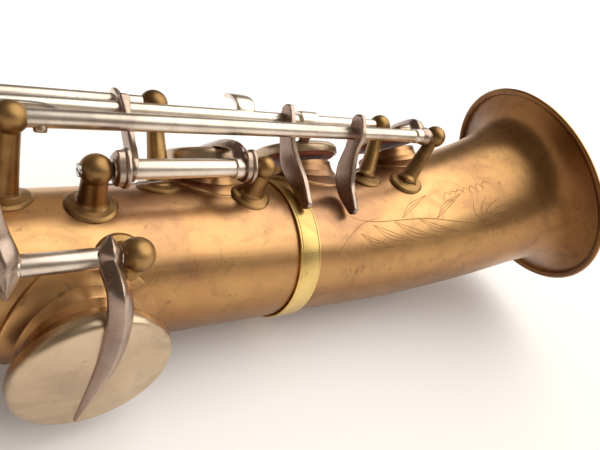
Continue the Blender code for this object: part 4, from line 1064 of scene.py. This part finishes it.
# ---- engraving on the bell: tendrils, leaves and a fan of petals
def engraved(shape, path, width=0.28):
    """A cut line through (s, phi) points, lying a hair over the bell's surface."""
    line = smooth([Vector((s, phi, 0)) for s, phi in path], 10)
    rows = []
    for i, at in enumerate(line):
        run = line[min(i + 1, len(line) - 1)] - line[max(i - 1, 0)]
        radius = outer_radius(at.x)
        side = Vector((-run.y * math.radians(1) * radius, run.x, 0)).normalized()
        taper = width * (0.35 + 0.65 * math.sin(math.pi * i / (len(line) - 1)))
        rows.append([point_on(at.x + side.x * taper * t, at.y + math.degrees(side.y * taper * t / radius),
            h) for t, h in ((-0.5, 0.012), (0.0, 0.03), (0.5, 0.012))])
    shape.skin(rows, 0, False, False)


def foliage():
    shape = Shape()
    engraved(shape, [(16, 66), (24, 56), (32, 52), (44, 50), (56, 47), (68, 40), (80, 33), (92, 30)], 0.34)
    engraved(shape, [(14, 30), (20, 44), (26, 52), (34, 55)])
    for s, phi, turn, size in ((30, 50, -1, 1.0), (40, 50, -1, 1.1), (52, 48, -1, 0.9), (44, 51, 1, 0.8),
            (60, 45, 1, 0.8), (24, 44, -1, 0.8)):
        for bow in (-3.0, 0.0, 3.2):
            engraved(shape,
                [(s, phi), (s + 6 * size, phi + turn * (9 + bow) * size),
                (s + 13 * size, phi + turn * (15 + bow * 0.6) * size),
                (s + 19 * size, phi + turn * 19 * size)], 0.24)
    for step in range(9):
        angle = math.radians(-100 + 25 * step)
        tip = (82 + 15 * math.cos(angle), 33 + 20 * math.sin(angle))
        bend = (82 + 8 * math.cos(angle + 0.3), 33 + 11 * math.sin(angle + 0.3))
        engraved(shape, [(82, 33), bend, tip], 0.26)
    for step in range(7):
        engraved(shape, [(66 + 3.2 * step, 58 + 3 * math.sin(step)), (68 + 3.2 * step, 64),
            (71 + 3.2 * step, 59 + 3 * math.sin(step + 1))])
    shape.dress("bell_engraving", "horn", [CUT], "body_brass")


def springs():
    shape = Shape()
    for line, x, length, side in ((LOW_B, 43.7, 20, -1), (LOW_CS, -52.1, 15, 1), (CS_LEVER, -32, 18, -1),
            (LOW_C, -47.9, 12, -1)):
        spring(shape, line, x, length, side)
    shape.dress("needle_springs", "horn", [STEEL], "rod_steel")


# ---- camera, floor and light
FLOOR_FALLOFF_SPAN = (-1.0, 0.4)  # where across the floor, in metres, its painted shade is deepest and where it has turned white
FLOOR_PAINTED_FALLOFF = ((0.0, (0.66, 0.61, 0.57)), (0.35, (0.70, 0.65, 0.61)), (0.60, (0.83, 0.78, 0.74)),
    (0.70, (0.88, 0.86, 0.84)), (1.0, (0.92, 0.92, 0.93)))
FLOOR_SIDES = 96
EYE, AZIMUTH, DOWN, ROLL, TILT, LENS = Vector((-81.5, -92.7, 82.9)), 38.9, 7.1, 1.4, -30.0, 28.64


def stage():
    """A pale paper floor, flat under the instrument and rising to a shallow bowl far off."""
    material, tree, shader = nodes_of("pale_paper")
    coords, split = tree.nodes.new("ShaderNodeTexCoord"), tree.nodes.new("ShaderNodeSeparateXYZ")
    tree.links.new(coords.outputs["Object"], split.inputs[0])
    # Painted light falloff: the floor is darker and warmer towards the camera's side and white beyond, and
    # the metal's low faces reflect this shade.
    depth = add(tree, "ShaderNodeMapRange", **{"From Min": FLOOR_FALLOFF_SPAN[0], "From Max": FLOOR_FALLOFF_SPAN[1]})
    tree.links.new(split.outputs["Y"], depth.inputs["Value"])
    tree.links.new(ramp(tree, depth.outputs[0], FLOOR_PAINTED_FALLOFF), shader.inputs["Base Color"])
    shader.inputs["Roughness"].default_value = 0.8
    relief(tree, shader, noise_at(tree, 30.0, 3.0), 0.02)
    mesh = bpy.data.meshes.new("floor")
    rings = ((0.2, 0), (0.6, 0), (1.2, 0), (2.0, 0), (2.6, 0.02), (3.4, 0.12), (5.0, 0.45), (7.0, 0.95))
    verts = [(0.0, 0.0, 0.0)] + [(r * c, r * s, z) for r, z in rings for c, s in circle(FLOOR_SIDES)]
    turns = [(i, (i + 1) % FLOOR_SIDES) for i in range(FLOOR_SIDES)]
    faces = [(0, 1 + i, 1 + j) for i, j in turns]
    for k in range(len(rings) - 1):
        low, high = 1 + FLOOR_SIDES * k, 1 + FLOOR_SIDES * (k + 1)
        faces += [(low + i, high + i, high + j, low + j) for i, j in turns]
    mesh.from_pydata(verts, [], faces)
    mesh.shade_smooth()
    mesh.materials.append(material)
    placed("floor", mesh)


def camera():
    azimuth, down, roll = math.radians(AZIMUTH), math.radians(DOWN), math.radians(ROLL)
    ahead = Vector((math.sin(azimuth) * math.cos(down), math.cos(azimuth) * math.cos(down), -math.sin(down)))
    right = Vector((math.cos(azimuth), -math.sin(azimuth), 0.0))
    up = right.cross(ahead)
    right, up = math.cos(roll) * right + math.sin(roll) * up, -math.sin(roll) * right + math.cos(roll) * up
    tilt = Matrix.Rotation(math.radians(TILT), 3, "X")
    data = bpy.data.cameras.new("camera")
    data.lens, data.sensor_width, data.clip_start = LENS, 36.0, 0.005
    obj = placed("camera", data)
    obj.matrix_world = Matrix([tilt @ axis for axis in (right, up, -ahead)]).transposed().to_4x4()
    obj.matrix_world.translation = (EYE + DATUM) * MM
    bpy.context.scene.camera = obj


def sky(name, toward, energy, angle, colour, in_metal=True):
    """A broad patch of sky light: a distant disc this many degrees across."""
    data = bpy.data.lights.new(name, "SUN")
    data.energy, data.angle, data.color = energy, math.radians(angle), colour
    obj = placed(name, data)
    obj.rotation_euler = (-Vector(toward)).to_track_quat("-Z", "Y").to_euler()
    obj.visible_glossy = in_metal


def lights():
    world = bpy.data.worlds.new("studio")
    world.use_nodes = True
    background = world.node_tree.nodes["Background"]
    background.inputs["Color"].default_value = (1.0, 0.82, 0.66, 1)
    background.inputs["Strength"].default_value = 0.19
    bpy.context.scene.world = world
    sky("window", (0.60, -0.12, 0.78), 2.4, 80, (1.0, 0.965, 0.91))
    sky("ceiling", (-0.1, 0.1, 1.0), 1.75, 180, (0.97, 0.98, 1.0), False)
    bpy.context.scene.view_settings.view_transform = "Standard"


tube_walls()
chimneys("body_tone_hole_chimneys", BODY_START, BODY_END)
chimneys("bell_tone_hole_chimneys", BODY_END, RIM)
posts()
rods()
springs()
low_keys()
pinky_keys()
stack(RIGHT_STACK, ("d", "e", "f", "fs"), ("d", "e", "f"))
stack(LEFT_STACK, ("g", "a", "b", "c"), ("g", "a", "b"))
side_keys()
octave_keys()
pads()
furniture()
mouthpiece()
foliage()
stage()
camera()
lights()
